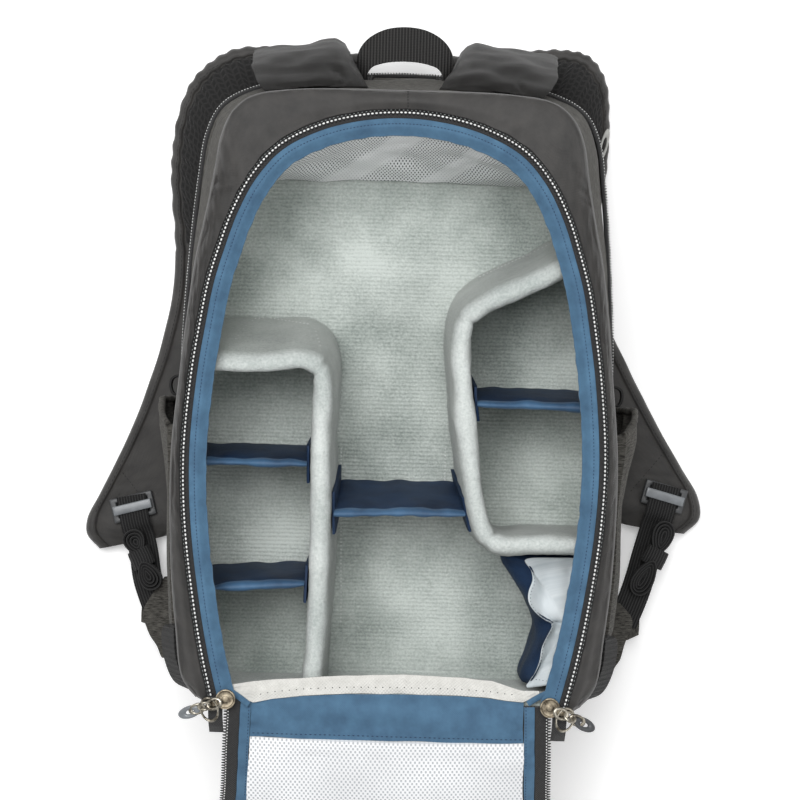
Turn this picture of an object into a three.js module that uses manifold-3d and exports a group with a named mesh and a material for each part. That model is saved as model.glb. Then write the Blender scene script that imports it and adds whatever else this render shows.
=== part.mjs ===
// A camera backpack that lies on its back, unzipped, with its front flap folded down over the bottom edge.
// +Y runs to the top of the bag, +X to the right of its front, and +Z out of the open compartment.
// The origin is the middle of the back pad, on the surface that the bag lies on. Lengths are in millimetres.
import * as THREE from "three";
import { mergeVertices } from "three/addons/utils/BufferGeometryUtils.js";
import Module from "manifold-3d";

// Bag
const frontHeight = 389; // bottom seam to top seam of the padded front frame
const frontWidth = 281; // the front frame at its widest
const backHeight = 414; // the laptop compartment, which stands higher than the front
const backWidth = 287;
const bottomSeam = -194.5; // where both start
const padDepth = 16; // back pad, under the harness panel
const laptopDepth = 34;
const bagDepth = 170; // surface to the top of the front frame
const wallThickness = 9; // foam and lining of the camera compartment
const floorThickness = 10;
const frameThickness = 12;
const sewnGap = 0.4; // clearance between pieces that are sewn together
const outlinePoints = 72;
const floorFillet = 2;

// Opening
const openingHeight = 372;
const openingWidth = 263;
const openingBottom = -192.5;
const zipWidth = 9;
const zipThickness = 2.2;
const facingWidth = 8;
const facingThickness = 2;
const facingDip = 4; // how far the facing falls towards its inner edge

// Back pad
const padWidth = 160;
const padLength = 332;
const padCorner = 26;
const padEdge = 5;

// Flap
const flapLength = 372;
const flapWidth = 242;
const flapSeamThickness = 2.6; // where it is sewn over the bottom wall's rim
const flapSeamWidth = 24;
const flapThickness = 7;
const flapBandWidth = 26;
const flapTapeWidth = 7;
const flapFacingWidth = 6.5;
const clothThickness = 1.2;
const flapLayerGap = 0.7; // between the flap and the strips sewn on its inside
const pocketBulge = 3.5;

// Dividers and inner pockets
const dividerThickness = 14;
const dividerHeight = 92;
const smallDividerThickness = 6.5;
const smallDividerHeight = 80;
const flapTabThickness = 2.4; // hook tabs at the ends of a small divider
const bindingWidth = 14;
const bindingThickness = 2;
const pouchDepth = 64;
const pouchWall = 2;

// Harness
const strapThickness = 12.5;
const strapEdge = 3;
const yokeStart = 29.5; // from the bag's middle
const yokeLength = 74;
const handleThickness = 2.4;
const webbingThickness = 1.8;
const webbingWidth = 20;
const bundleThickness = 9;
const bundleWidth = 15;
const keeperThickness = 1.5;
const buckleWidth = 30;
const buckleLength = 17;
const buckleThickness = 4;
const buckleBar = 3.2;

// Side pockets, tabs and loops
const pocketFloor = 24;
const pocketTop = 112;
const pocketStandoff = 11;
const pocketWall = 2;
const tabThickness = 3;
const loopWidth = 23;
const loopThickness = 2;
const laptopZipWidth = 9;
const laptopZipThickness = 1.8;
const laptopZipEnd = 15; // how far up the bag the laptop zip stops
const meshThickness = 1.6;
const zipTabLength = 19;
const zipTabThickness = 1.6;

// Zip pulls
const sliderRadius = 5.6;
const sliderThickness = 3;
const bailWire = 1.1;
const ringRadius = 6;
const ringWire = 1;
const linkLength = 13;
const linkWidth = 6.5;
const linkWire = 0.9;
const tipLength = 14;
const tipRadius = 3.2;

// Outlines. up is a share of the height above the bottom seam, half a share of half the width.
const frontRows = [
  { up: 0.0, half: 0.0 },
  { up: 0.0, half: 0.72 },
  { up: 0.012, half: 0.86 },
  { up: 0.045, half: 0.925 },
  { up: 0.12, half: 0.957 },
  { up: 0.23, half: 0.988 },
  { up: 0.4, half: 1.0 },
  { up: 0.54, half: 0.968 },
  { up: 0.63, half: 0.943 },
  { up: 0.72, half: 0.912 },
  { up: 0.8, half: 0.868 },
  { up: 0.87, half: 0.834 },
  { up: 0.92, half: 0.812 },
  { up: 0.96, half: 0.764 },
  { up: 0.985, half: 0.68 },
  { up: 0.997, half: 0.5 },
  { up: 1.0, half: 0.0 },
];
const backRows = [
  { up: 0.0, half: 0.0 },
  { up: 0.0, half: 0.72 },
  { up: 0.012, half: 0.86 },
  { up: 0.06, half: 0.945 },
  { up: 0.2, half: 0.985 },
  { up: 0.4, half: 1.0 },
  { up: 0.57, half: 1.0 },
  { up: 0.72, half: 0.975 },
  { up: 0.83, half: 0.945 },
  { up: 0.9, half: 0.915 },
  { up: 0.945, half: 0.85 },
  { up: 0.972, half: 0.71 },
  { up: 0.988, half: 0.45 },
  { up: 1.0, half: 0.0 },
];
const openingRows = [
  { up: 0.0, half: 0.83 },
  { up: 0.08, half: 0.886 },
  { up: 0.17, half: 0.935 },
  { up: 0.3, half: 0.985 },
  { up: 0.42, half: 1.0 },
  { up: 0.55, half: 0.974 },
  { up: 0.64, half: 0.938 },
  { up: 0.71, half: 0.903 },
  { up: 0.77, half: 0.855 },
  { up: 0.83, half: 0.797 },
  { up: 0.89, half: 0.71 },
  { up: 0.94, half: 0.585 },
  { up: 0.975, half: 0.4 },
  { up: 0.994, half: 0.2 },
  { up: 1.0, half: 0.0 },
];
const flapRows = [
  { up: 0.0, half: 0.835 },
  { up: 0.08, half: 0.845 },
  { up: 0.18, half: 0.86 },
  { up: 0.3, half: 0.905 },
  { up: 0.43, half: 0.965 },
  { up: 0.56, half: 1.0 },
  { up: 0.68, half: 0.985 },
  { up: 0.78, half: 0.925 },
  { up: 0.86, half: 0.83 },
  { up: 0.92, half: 0.7 },
  { up: 0.965, half: 0.52 },
  { up: 0.99, half: 0.3 },
  { up: 1.0, half: 0.0 },
];
// The flap's fall, along its underside: run is a share of its length away from the bottom seam,
// drop a share of the height of the rim that it is sewn to.
const flapFall = [
  { run: -0.011, drop: 0.0 },
  { run: 0.006, drop: 0.0 },
  { run: 0.035, drop: 0.03 },
  { run: 0.1, drop: 0.095 },
  { run: 0.2, drop: 0.225 },
  { run: 0.34, drop: 0.43 },
  { run: 0.5, drop: 0.645 },
  { run: 0.66, drop: 0.835 },
  { run: 0.76, drop: 0.94 },
  { run: 0.83, drop: 0.985 },
  { run: 0.88, drop: 1.0 },
  { run: 0.98, drop: 1.0 },
  { run: 1.08, drop: 1.0 },
];

// The body of the bag between its back and its front. depth is a share of the camera compartment's depth,
// front how far the outline has gone from the back's to the front's, inset how far it is drawn in.
const compartmentRows = [
  { depth: 0.0, front: 0.0, inset: 4 },
  { depth: 0.08, front: 0.06, inset: 1 },
  { depth: 0.45, front: 0.45, inset: -0.5 },
  { depth: 0.8, front: 0.85, inset: 0 },
  { depth: 1.0, front: 1.0, inset: 1 },
];
const laptopRows = [
  { depth: 0.0, inset: 15 },
  { depth: 0.06, inset: 8 },
  { depth: 0.25, inset: 2 },
  { depth: 0.5, inset: 0 },
  { depth: 0.88, inset: 0 },
  { depth: 1.0, inset: 3 },
];

// Shoulder straps, seen from above: points on the outer edge and the inner edge.
const strapRows = {
  left: [
    { outer: [29, 240], inner: [29, 178] },
    { outer: [60, 243], inner: [60, 178] },
    { outer: [90, 244], inner: [80, 175] },
    { outer: [118, 242], inner: [90, 166] },
    { outer: [138, 230.6], inner: [95, 154] },
    { outer: [152, 212], inner: [97, 140] },
    { outer: [160, 178], inner: [97, 122] },
    { outer: [161, 150], inner: [96, 104] },
    { outer: [157, 105], inner: [96, 82] },
    { outer: [158, 70], inner: [98, 58] },
    { outer: [164, 38], inner: [102, 34] },
    { outer: [175, 0], inner: [108, 6] },
    { outer: [189, -37], inner: [115, -22] },
    { outer: [204, -69], inner: [122, -48] },
    { outer: [213, -88], inner: [130, -70] },
    { outer: [213, -99], inner: [142, -86] },
    { outer: [204, -109], inner: [158, -99] },
  ],
  right: [
    { outer: [29, 240], inner: [29, 178] },
    { outer: [58, 244], inner: [58, 178] },
    { outer: [86, 246], inner: [76, 175] },
    { outer: [110, 247], inner: [84, 167] },
    { outer: [128, 243], inner: [88, 156] },
    { outer: [139.8, 227.4], inner: [90, 143] },
    { outer: [143.4, 200], inner: [91, 126] },
    { outer: [142.5, 165], inner: [91, 106] },
    { outer: [138.8, 129], inner: [92, 86] },
    { outer: [140, 92], inner: [94, 64] },
    { outer: [147, 56], inner: [98, 42] },
    { outer: [162, 25], inner: [104, 18] },
    { outer: [182, -12], inner: [112, -6] },
    { outer: [200, -42], inner: [120, -30] },
    { outer: [212, -62], inner: [130, -52] },
    { outer: [213.5, -77], inner: [143, -68] },
    { outer: [203, -88], inner: [158, -82] },
  ],
};
// The yoke's cross-section: over is its distance from the bag's top wall, high the height above the strap.
const yokeSection = [
  { over: 4, high: 0.4 },
  { over: 21, high: 0.4 },
  { over: 27, high: 6 },
  { over: 29, high: 22 },
  { over: 27, high: 44 },
  { over: 22, high: 74 },
  { over: 15, high: 104 },
  { over: 6, high: 121 },
  { over: 1.1, high: 124 },
  { over: 0.9, high: 86 },
  { over: 0.9, high: 46.6 },
  { over: 4, high: 37 },
];
// Along the yoke: along is a share of its length from the middle outwards, full how full its section is.
const yokeRows = [
  { along: 0.0, full: 0.55 },
  { along: 0.06, full: 0.8 },
  { along: 0.2, full: 0.97 },
  { along: 0.4, full: 1.04 },
  { along: 0.65, full: 1.0 },
  { along: 0.88, full: 0.98 },
  { along: 1.0, full: 0.84 },
];

// The grab handle's two edges. side and nearSide are shares of its half span, off the distance from the top seam,
// high the height above the surface, and sewn ends lie on the bag's top wall.
const handleHalfSpan = 26;
const handleRows = [
  { side: -1.0, off: 0, high: 53, nearSide: -0.55, nearOff: 0, nearHigh: 62, sewn: true },
  { side: -1.02, off: 9, high: 53, nearSide: -0.54, nearOff: 3, nearHigh: 62 },
  { side: -0.9, off: 18, high: 54, nearSide: -0.46, nearOff: 6, nearHigh: 64 },
  { side: -0.6, off: 27, high: 56, nearSide: -0.3, nearOff: 8.4, nearHigh: 66 },
  { side: -0.2, off: 31.5, high: 57, nearSide: -0.1, nearOff: 9.4, nearHigh: 67 },
  { side: 0.2, off: 31.5, high: 57, nearSide: 0.1, nearOff: 9.4, nearHigh: 67 },
  { side: 0.6, off: 27, high: 56, nearSide: 0.3, nearOff: 8.4, nearHigh: 66 },
  { side: 0.9, off: 18, high: 54, nearSide: 0.46, nearOff: 6, nearHigh: 64 },
  { side: 1.02, off: 9, high: 53, nearSide: 0.54, nearOff: 3, nearHigh: 62 },
  { side: 1.0, off: 0, high: 53, nearSide: 0.55, nearOff: 0, nearHigh: 62, sewn: true },
];

// Dividers, as the line of their upper edge, and how far the foot lies from it. ends: "side" reaches the side wall,
// "bottom" the bottom wall.
const leftDividerRows = [
  { x: -1, y: 19, footX: 0, footY: 26, ends: "side" },
  { x: -85, y: 20, footX: 0, footY: 26 },
  { x: -58, y: 22, footX: 0, footY: 24 },
  { x: -48.5, y: 15, footX: 2, footY: 20 },
  { x: -47.5, y: -30, footX: 2, footY: 0 },
  { x: -46, y: -90, footX: 2, footY: 0 },
  { x: -47, y: -140, footX: 1, footY: 0 },
  { x: -48, y: -181, footX: 0, footY: 0, ends: "bottom" },
];
const rightDividerRows = [
  { x: 1, y: 87, footX: 0, footY: 18, ends: "side" },
  { x: 106, y: 86, footX: 0, footY: 18 },
  { x: 88, y: 77, footX: 0, footY: 18 },
  { x: 49, y: 57, footX: 0, footY: 16 },
  { x: 41.5, y: 45, footX: -2, footY: 12 },
  { x: 43, y: 4, footX: -2, footY: 0 },
  { x: 49, y: -43, footX: -2, footY: 0 },
  { x: 58, y: -82, footX: -2, footY: 0 },
  { x: 68, y: -89.5, footX: 0, footY: 0 },
  { x: 94, y: -89.5, footX: 0, footY: 2 },
  { x: 1, y: -90.5, footX: 0, footY: 2, ends: "side" },
];
// Small dividers between the bays: what each end is fixed to, its place up the bag, the foot's offset,
// and the length of the hook tab there.
const bayDividers = [
  { name: "bay_divider_left_upper", ends: ["side", "left"], y: [-43, -43], footY: 8, tabs: [26, 24] },
  { name: "bay_divider_left_lower", ends: ["side", "left"], y: [-125, -119.5], footY: 7, tabs: [22, 24] },
  { name: "bay_divider_middle", ends: ["left", "right"], y: [-74, -72.5], footY: 16, tabs: [27, 22] },
  { name: "bay_divider_right", ends: ["right", "side"], y: [-1.5, -2.5], footY: 9, tabs: [22, 18] },
];
// The pouch in the lower right bay: its mouth, seen from above. side: true lies on the side wall.
const pouchMouth = [
  { x: 72, y: -98.5 },
  { x: 79, y: -114 },
  { x: 89, y: -130 },
  { x: 95, y: -148 },
  { x: 90, y: -166 },
  { x: 86, y: -181 },
  { x: 100, y: -182 },
  { x: 1, y: -170, side: true },
  { x: 1, y: -150, side: true },
  { x: 1, y: -126, side: true },
  { x: 1, y: -98.5, side: true },
  { x: 96, y: -98.5 },
];

// Lower webbing from the buckle on the strap to the tab on the bag. down runs towards the bottom of the bag, and
// high is the height of its underside.
const webbingRows = {
  left: [
    { out: 182, down: 71, high: 17.4 },
    { out: 178, down: 91, high: 17.4 },
    { out: 175, down: 100, high: 13.4 },
    { out: 172, down: 111, high: 15.5 },
    { out: 168, down: 128, high: 23 },
    { out: 160, down: 150, high: 23 },
  ],
  right: [
    { out: 189, down: 54, high: 17.4 },
    { out: 184.5, down: 74, high: 17.4 },
    { out: 182, down: 83, high: 13.4 },
    { out: 177, down: 100, high: 15 },
    { out: 169, down: 126, high: 23 },
    { out: 160, down: 150, high: 23 },
  ],
};
const bundleRows = {
  left: [
    { out: 181, down: 96, swell: 0.7 },
    { out: 180, down: 100, swell: 1.12 },
    { out: 177, down: 106, swell: 1.0 },
    { out: 174.5, down: 110, swell: 0.62 },
    { out: 171, down: 117, swell: 0.62 },
    { out: 168.5, down: 121, swell: 1.0 },
    { out: 164, down: 129, swell: 1.12 },
    { out: 162, down: 133, swell: 0.7 },
  ],
  right: [
    { out: 189, down: 80, swell: 0.7 },
    { out: 188, down: 85, swell: 1.12 },
    { out: 185, down: 95, swell: 1.0 },
    { out: 183, down: 100, swell: 0.62 },
    { out: 179.5, down: 107, swell: 0.62 },
    { out: 177, down: 112, swell: 1.0 },
    { out: 171, down: 123, swell: 1.12 },
    { out: 168, down: 128, swell: 0.7 },
  ],
};
const buckleSpots = {
  left: { out: 180.5, down: 79, turn: -15 },
  right: { out: 187.5, down: 62, turn: -15 },
};
// Tab that the lower webbing is sewn to: its root on the bag and its tip.
const tabSpot = { high: 19.4, rootDown: [128, 176], tipOut: 172, tipDown: [146, 158] };
// Side pocket, from its closed foot to its open mouth. swell is a share of the stand-off from the bag's side.
const pocketRows = [
  { up: -166, swell: 0.3 },
  { up: -146, swell: 0.85 },
  { up: -110, swell: 0.95 },
  { up: -60, swell: 1.0 },
  { up: -22, swell: 1.35 },
  { up: -4, swell: 1.75 },
];
// Webbing loop low on each side: off is how far its lower edge stands off the bag.
const loopRows = [
  { down: 148, off: 1.6 },
  { down: 151, off: 7 },
  { down: 158, off: 12 },
  { down: 170, off: 13 },
  { down: 180, off: 11 },
  { down: 187, off: 7 },
  { down: 190, off: 1.6 },
];
const loopHigh = 114; // its lower edge above the surface

const zFloor = padDepth + laptopDepth; // back of the camera compartment
const zInner = zFloor + floorThickness;
const zRim = bagDepth - frameThickness;
const zZip = bagDepth - 4;

const group = new THREE.Group();

function piece(name, geometry, color, roughness = 0.85, metalness = 0) {
  const material = new THREE.MeshStandardMaterial({ color, roughness, metalness });
  const mesh = new THREE.Mesh(geometry, material);
  mesh.name = name;
  group.add(mesh);
  return mesh;
}

// The sum of the cross products round a loop: its direction is the loop's normal.
function loopNormal(loop) {
  const normal = new THREE.Vector3();
  loop.forEach((point, i) => normal.add(point.clone().cross(loop[(i + 1) % loop.length])));
  return normal.normalize();
}

function capFaces(loop, start, along) {
  const normal = loopNormal(loop);
  const seed = Math.abs(normal.z) < 0.9 ? new THREE.Vector3(0, 0, 1) : new THREE.Vector3(1, 0, 0);
  const right = seed.cross(normal).normalize();
  const up = normal.clone().cross(right);
  const flat = loop.map((point) => new THREE.Vector2(point.dot(right), point.dot(up)));
  const faces = THREE.ShapeUtils.triangulateShape(flat, []);
  const turn = faces.reduce((sum, [a, b, c]) => {
    return sum + flat[b].clone().sub(flat[a]).cross(flat[c].clone().sub(flat[a]));
  }, 0);
  return faces.flatMap(([a, b, c]) => (turn > 0 === along ? [a, b, c] : [a, c, b])).map((index) => index + start);
}

// Joins loops with the same number of points into one closed solid, capped at its two ends unless they meet.
function skin(loops, ends = "capped") {
  const count = loops[0].length;
  const points = loops.flat();
  const faces = [];
  const spans = ends === "capped" ? loops.length - 1 : loops.length;
  for (let i = 0; i < spans; i++) {
    const near = i * count;
    const far = ((i + 1) % loops.length) * count;
    for (let j = 0; j < count; j++) {
      const k = (j + 1) % count;
      faces.push(near + j, near + k, far + k, near + j, far + k, far + j);
    }
  }
  if (ends === "capped") {
    faces.push(...capFaces(loops[0], 0, false));
    faces.push(...capFaces(loops.at(-1), (loops.length - 1) * count, true));
  }
  let volume = 0;
  for (let i = 0; i < faces.length; i += 3) {
    const [a, b, c] = [points[faces[i]], points[faces[i + 1]], points[faces[i + 2]]];
    volume += a.dot(b.clone().cross(c));
  }
  if (volume < 0) faces.reverse();
  const geometry = new THREE.BufferGeometry();
  geometry.setAttribute("position", new THREE.Float32BufferAttribute(points.flatMap((p) => p.toArray()), 3));
  geometry.setIndex(faces);
  geometry.computeVertexNormals();
  return geometry;
}

const at = (x, y, z) => new THREE.Vector3(x, y, z);

// Right side of an outline from its rows, bottom to top, then the left side back down.
function outlineControls(rows, width, height, bottom) {
  const right = rows.map((row) => at((row.half * width) / 2, bottom + row.up * height, 0));
  const left = right
    .filter((point) => point.x > 0)
    .reverse()
    .map((point) => at(-point.x, point.y, 0));
  return [...right, ...left];
}

function closedOutline(rows, width, height, bottom, count = outlinePoints) {
  const curve = new THREE.CatmullRomCurve3(outlineControls(rows, width, height, bottom), true, "centripetal");
  return curve.getSpacedPoints(count).slice(0, count);
}

// An outline that is open at the bottom, from its lower right end over the top to its lower left end.
function archOutline(rows, width, height, bottom, count) {
  const lower = rows.filter((row, i) => i > 0 || row.half > 0);
  const curve = new THREE.CatmullRomCurve3(outlineControls(lower, width, height, bottom), false, "centripetal");
  return curve.getSpacedPoints(count);
}

// Points moved towards the inside of an outline that runs anticlockwise.
function inset(points, distance, closed = true) {
  const last = points.length - 1;
  return points.map((point, i) => {
    const before = closed ? points[(i + last) % (last + 1)] : points[Math.max(i - 1, 0)];
    const after = closed ? points[(i + 1) % (last + 1)] : points[Math.min(i + 1, last)];
    const along = after.clone().sub(before).normalize();
    return at(point.x - along.y * distance, point.y + along.x * distance, point.z);
  });
}

const mix = (a, b, share) => a.map((point, i) => point.clone().lerp(b[i], share));
const level = (points, z) => points.map((point) => at(point.x, point.y, z));

// How far an outline reaches: sideways at a height on the bag, or upwards at a distance from its middle.
function reach(outline, place, along = "y", across = "x") {
  let widest = -Infinity;
  outline.forEach((a, i) => {
    const b = outline[(i + 1) % outline.length];
    if ((a[along] - place) * (b[along] - place) <= 0 && a[along] !== b[along]) {
      const share = (place - a[along]) / (b[along] - a[along]);
      widest = Math.max(widest, THREE.MathUtils.lerp(a[across], b[across], share));
    }
  });
  return widest;
}
const topReach = (outline, x) => reach(outline, x, "x", "y");

// One column of a table at a place along another of its columns.
function lookUp(rows, key, value, place) {
  const after = rows.findIndex((row) => row[key] >= place);
  if (after <= 0) return rows.at(after)[value];
  const [a, b] = [rows[after - 1], rows[after]];
  return THREE.MathUtils.lerp(a[value], b[value], (place - a[key]) / (b[key] - a[key]));
}

// Sweeps a section of {into, z} points along an arch of stations, and places each point by a rule.
function rail(arch, section, place = at) {
  const insets = section.map((row) => inset(arch, row.into, false));
  return arch.map((_, i) => section.map((row, j) => place(insets[j][i].x, insets[j][i].y, row.z)));
}

// The sideways direction at each point of a flat path, lengthened at corners so that a wall keeps its thickness.
function sideways(path) {
  const last = path.length - 1;
  return path.map((point, i) => {
    const back = (i > 0 ? point.clone().sub(path[i - 1]) : path[1].clone().sub(point)).setZ(0).normalize();
    const ahead = (i < last ? path[i + 1].clone().sub(point) : point.clone().sub(path[last - 1])).setZ(0);
    const along = back.clone().add(ahead.normalize()).normalize();
    return at(-along.y, along.x, 0).divideScalar(Math.max(along.dot(back), 0.5));
  });
}

const offsetLine = (path, distance) => {
  const across = sideways(path);
  return path.map((point, i) => point.clone().addScaledVector(across[i], distance));
};

// A flat pad between two edges, with its rims rounded.
function padBetween(outer, inner, low, high, edge) {
  return skin(
    outer.map((far, i) => {
      const near = inner[i];
      const width = far.distanceTo(near);
      const e = edge / width;
      const section = [
        [e, low],
        [1 - e, low],
        [1, low + edge],
        [1, high - edge],
        [1 - e, high],
        [e, high],
        [0, high - edge],
        [0, low + edge],
      ];
      return section.map(([share, z]) => near.clone().lerp(far, share).setZ(z));
    }),
  );
}

// Bag body

const front = closedOutline(frontRows, frontWidth, frontHeight, bottomSeam);
const back = closedOutline(backRows, backWidth, backHeight, bottomSeam);

function compartmentOutline(share) {
  const drawn = mix(back, front, lookUp(compartmentRows, "depth", "front", share));
  return inset(drawn, lookUp(compartmentRows, "depth", "inset", share));
}

// The bag's outer outline at a height above the surface.
function bodyOutline(z) {
  if (z <= zFloor) return inset(back, lookUp(laptopRows, "depth", "inset", (z - padDepth) / laptopDepth));
  return compartmentOutline((z - zFloor) / (zRim - zFloor));
}

// The inside of the camera compartment at a height above the surface.
function cavityOutline(z) {
  return inset(bodyOutline(z), wallThickness + Math.max(0, zInner + floorFillet - z));
}

const laptopLoops = laptopRows.map((row) => level(inset(back, row.inset), padDepth + row.depth * laptopDepth));
piece("laptop_compartment", skin(laptopLoops), 0x4d4b48);

function cameraCompartment() {
  const height = (row) => zFloor + row.depth * (zRim - zFloor);
  const outer = compartmentRows.map((row) => level(bodyOutline(height(row) + 1e-6), height(row)));
  outer[0] = level(outer[0], zFloor + sewnGap);
  const walls = compartmentRows.filter((row) => height(row) > zInner + floorFillet).reverse();
  const inner = walls.map((row) => level(cavityOutline(height(row)), height(row)));
  const corner = [floorFillet, 0].map((rise) => level(cavityOutline(zInner + rise), zInner + rise));
  return skin([...outer, ...inner, ...corner]);
}
piece("camera_compartment", cameraCompartment(), 0x55534f);

const archCount = 56;
const zipLine = archOutline(openingRows, openingWidth, openingHeight, openingBottom, archCount);
const frameArch = archOutline(frontRows.slice(2), frontWidth, frontHeight, bottomSeam, archCount);

// The padded frame round the opening, with a ledge on its inside that carries the zip and the facing.
function frontFrame() {
  const zLow = zRim + sewnGap;
  const ledge = zZip - zipThickness / 2 - sewnGap;
  const lip = inset(zipLine, -zipWidth / 2 - sewnGap, false);
  const inner = inset(zipLine, zipWidth / 2 + 3, false);
  const outer = inset(frameArch, 1, false);
  const shoulder = inset(frameArch, 2.2, false);
  return skin(
    zipLine.map((_, i) => [
      outer[i].clone().setZ(zLow),
      frameArch[i].clone().setZ(zLow + frameThickness * 0.45),
      shoulder[i].clone().setZ(bagDepth - 2),
      shoulder[i].clone().lerp(lip[i], 0.5).setZ(bagDepth),
      lip[i].clone().setZ(bagDepth - 2.2),
      lip[i].clone().setZ(ledge),
      inner[i].clone().setZ(ledge),
      inner[i].clone().setZ(zLow),
    ]),
  );
}
piece("front_frame", frontFrame(), 0x3f3d3b, 0.7);

function zipTrack() {
  const half = zipWidth / 2;
  const [low, high] = [zZip - zipThickness / 2, zZip + zipThickness / 2];
  const section = [
    { into: -half, z: low },
    { into: half, z: low },
    { into: half, z: high - 0.8 },
    { into: 1.4, z: high },
    { into: -1.4, z: high },
    { into: -half, z: high - 0.8 },
  ];
  return skin(rail(zipLine, section));
}
piece("zip_track", zipTrack(), 0x1d1d1e, 0.5);

const facingStart = zipWidth / 2 + sewnGap;
const facingEnd = facingStart + facingWidth;
const zFacing = zZip - zipThickness / 2;

function rimFacing() {
  const high = zFacing + facingThickness;
  const section = [
    { into: facingStart, z: zFacing },
    { into: facingStart + 2.6, z: zFacing },
    { into: facingEnd, z: zFacing - facingDip },
    { into: facingEnd + 0.5, z: high - facingDip },
    { into: facingStart + 3, z: high },
    { into: facingStart, z: high },
  ];
  return skin(rail(zipLine, section));
}
piece("rim_facing", rimFacing(), 0x44688f, 0.75);

function backPad() {
  const shape = new THREE.Shape();
  const [x, y, r] = [padWidth / 2, padLength / 2, padCorner];
  shape.moveTo(-x + r, -y).lineTo(x - r, -y).absarc(x - r, -y + r, r, -Math.PI / 2, 0);
  shape.lineTo(x, y - r).absarc(x - r, y - r, r, 0, Math.PI / 2);
  shape.lineTo(-x + r, y).absarc(-x + r, y - r, r, Math.PI / 2, Math.PI);
  shape.lineTo(-x, -y + r).absarc(-x + r, -y + r, r, Math.PI, Math.PI * 1.5);
  const outline = shape.getPoints(6).map((point) => at(point.x, point.y, 0));
  const ring = outline.filter((point, i) => point.distanceTo(outline[(i + 1) % outline.length]) > 0.01);
  const top = padDepth - sewnGap;
  return skin([
    level(inset(ring, padEdge), 0),
    level(inset(ring, padEdge * 0.3), padEdge * 0.3),
    level(ring, padEdge),
    level(ring, top - padEdge * 0.6),
    level(inset(ring, padEdge * 0.6), top),
  ]);
}
piece("back_pad", backPad(), 0x2b2a29, 0.95);

// Laptop compartment zip and its cord pull

const zLaptopZip = padDepth + laptopDepth * 0.7;
const upperBack = back.filter((point) => point.y > laptopZipEnd);

function laptopZip() {
  const [low, high] = [zLaptopZip - laptopZipWidth / 2, zLaptopZip + laptopZipWidth / 2];
  const outer = -sewnGap - laptopZipThickness;
  const section = [
    { into: -sewnGap, z: low },
    { into: outer + 0.6, z: low },
    { into: outer, z: low + 1.2 },
    { into: outer, z: high - 1.2 },
    { into: outer + 0.6, z: high },
    { into: -sewnGap, z: high },
  ];
  return skin(rail(upperBack, section));
}
piece("laptop_zip", laptopZip(), 0x262626, 0.6);

function laptopZipPull() {
  const off = sewnGap * 2 + laptopZipThickness;
  const heights = [186, 180, 173, 166];
  const near = heights.map((y) => at(reach(back, y) + off + 0.6, y, 0));
  const far = near.map((point, i) => point.clone().add(at([2.4, 4.6, 4.6, 3][i], -0.8, 0)));
  return padBetween(far, near, zLaptopZip - 3, zLaptopZip + 3, 1);
}
piece("laptop_zip_pull", laptopZipPull(), 0x30302f, 0.8);

// Mesh panel inside the top wall: its foot on the floor, its upper edge under the facing.

function topMeshPanel() {
  const facingInner = inset(zipLine, facingEnd - 1.4, false);
  const foot = cavityOutline(zInner + floorFillet);
  const rim = cavityOutline(zRim - 1);
  const footLine = openingBottom + openingHeight - 32;
  const lowest = footLine - 10;
  const loops = [];
  for (let i = 0; i <= 18; i++) {
    const across = -1 + i / 9;
    const footX = across * (reach(foot, footLine - 4) - 1.5);
    const rimX = across * (reach(rim, lowest) - 1.5);
    const y = Math.max(topReach(facingInner, rimX), lowest);
    const under = y > lowest + 0.5 ? zFacing - facingDip - sewnGap : zRim - 0.6;
    const top = at(rimX, y, under);
    const bottom = at(footX, footLine - 4 * across * across, zInner + floorFillet + sewnGap);
    const middle = top.clone().lerp(bottom, 0.5).add(at(0, 1.5, 0));
    const depth = at(0, meshThickness, 0);
    loops.push([bottom, middle, top, top.clone().add(depth), middle.clone().add(depth), bottom.clone().add(depth)]);
  }
  return skin(loops);
}
piece("top_mesh_panel", topMeshPanel(), 0xd8dadb, 0.8);

// Padded dividers

const zFoot = zInner + floorFillet + sewnGap;
const zDivider = zInner + dividerHeight;

function dividerLine(rows, share) {
  const z = THREE.MathUtils.lerp(zFoot, zDivider, share);
  const cavity = cavityOutline(z);
  const half = dividerThickness / 2;
  return rows.map((row) => {
    const point = at(row.x + row.footX * (1 - share), row.y + row.footY * (1 - share), z);
    if (row.ends === "side") {
      const room = Math.min(reach(cavity, point.y + half), reach(cavity, point.y - half));
      point.x = Math.sign(row.x) * (room - sewnGap * 1.5);
    }
    if (row.ends === "bottom") {
      point.y = -topReach(cavity.map((p) => at(p.x, -p.y, 0)), point.x) + sewnGap * 1.5;
    }
    return point;
  });
}

function divider(rows) {
  const half = dividerThickness / 2;
  const levels = [
    [0, half],
    [0.45, half],
    [0.93, half],
    [1, half * 0.55],
  ];
  const sides = [-1, 1].map((side) =>
    levels.map(([share, width]) => offsetLine(dividerLine(rows, share), side * width)),
  );
  return skin(rows.map((_, i) => [...sides[0].map((line) => line[i]), ...sides[1].map((line) => line[i]).reverse()]));
}
piece("divider_left", divider(leftDividerRows), 0xaab3ad, 0.95);
piece("divider_right", divider(rightDividerRows), 0xaab3ad, 0.95);

// Where a small divider's end is seated, at a height on the bag and above the surface.
function seat(kind, side, y, z) {
  const share = (z - zFoot) / (zDivider - zFoot);
  if (kind === "side") return side * (reach(cavityOutline(z), y) - sewnGap);
  const rows = kind === "left" ? leftDividerRows : rightDividerRows;
  const face = offsetLine(dividerLine(rows, share), (side < 0 ? 1 : -1) * (dividerThickness / 2 + sewnGap));
  const crossing = face.slice(1).flatMap((b, i) => {
    const a = face[i];
    if ((a.y - y) * (b.y - y) > 0 || a.y === b.y || Math.abs(a.x) > 90) return [];
    return [THREE.MathUtils.lerp(a.x, b.x, (y - a.y) / (b.y - a.y))];
  });
  return side < 0 ? Math.max(...crossing) : Math.min(...crossing);
}

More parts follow.
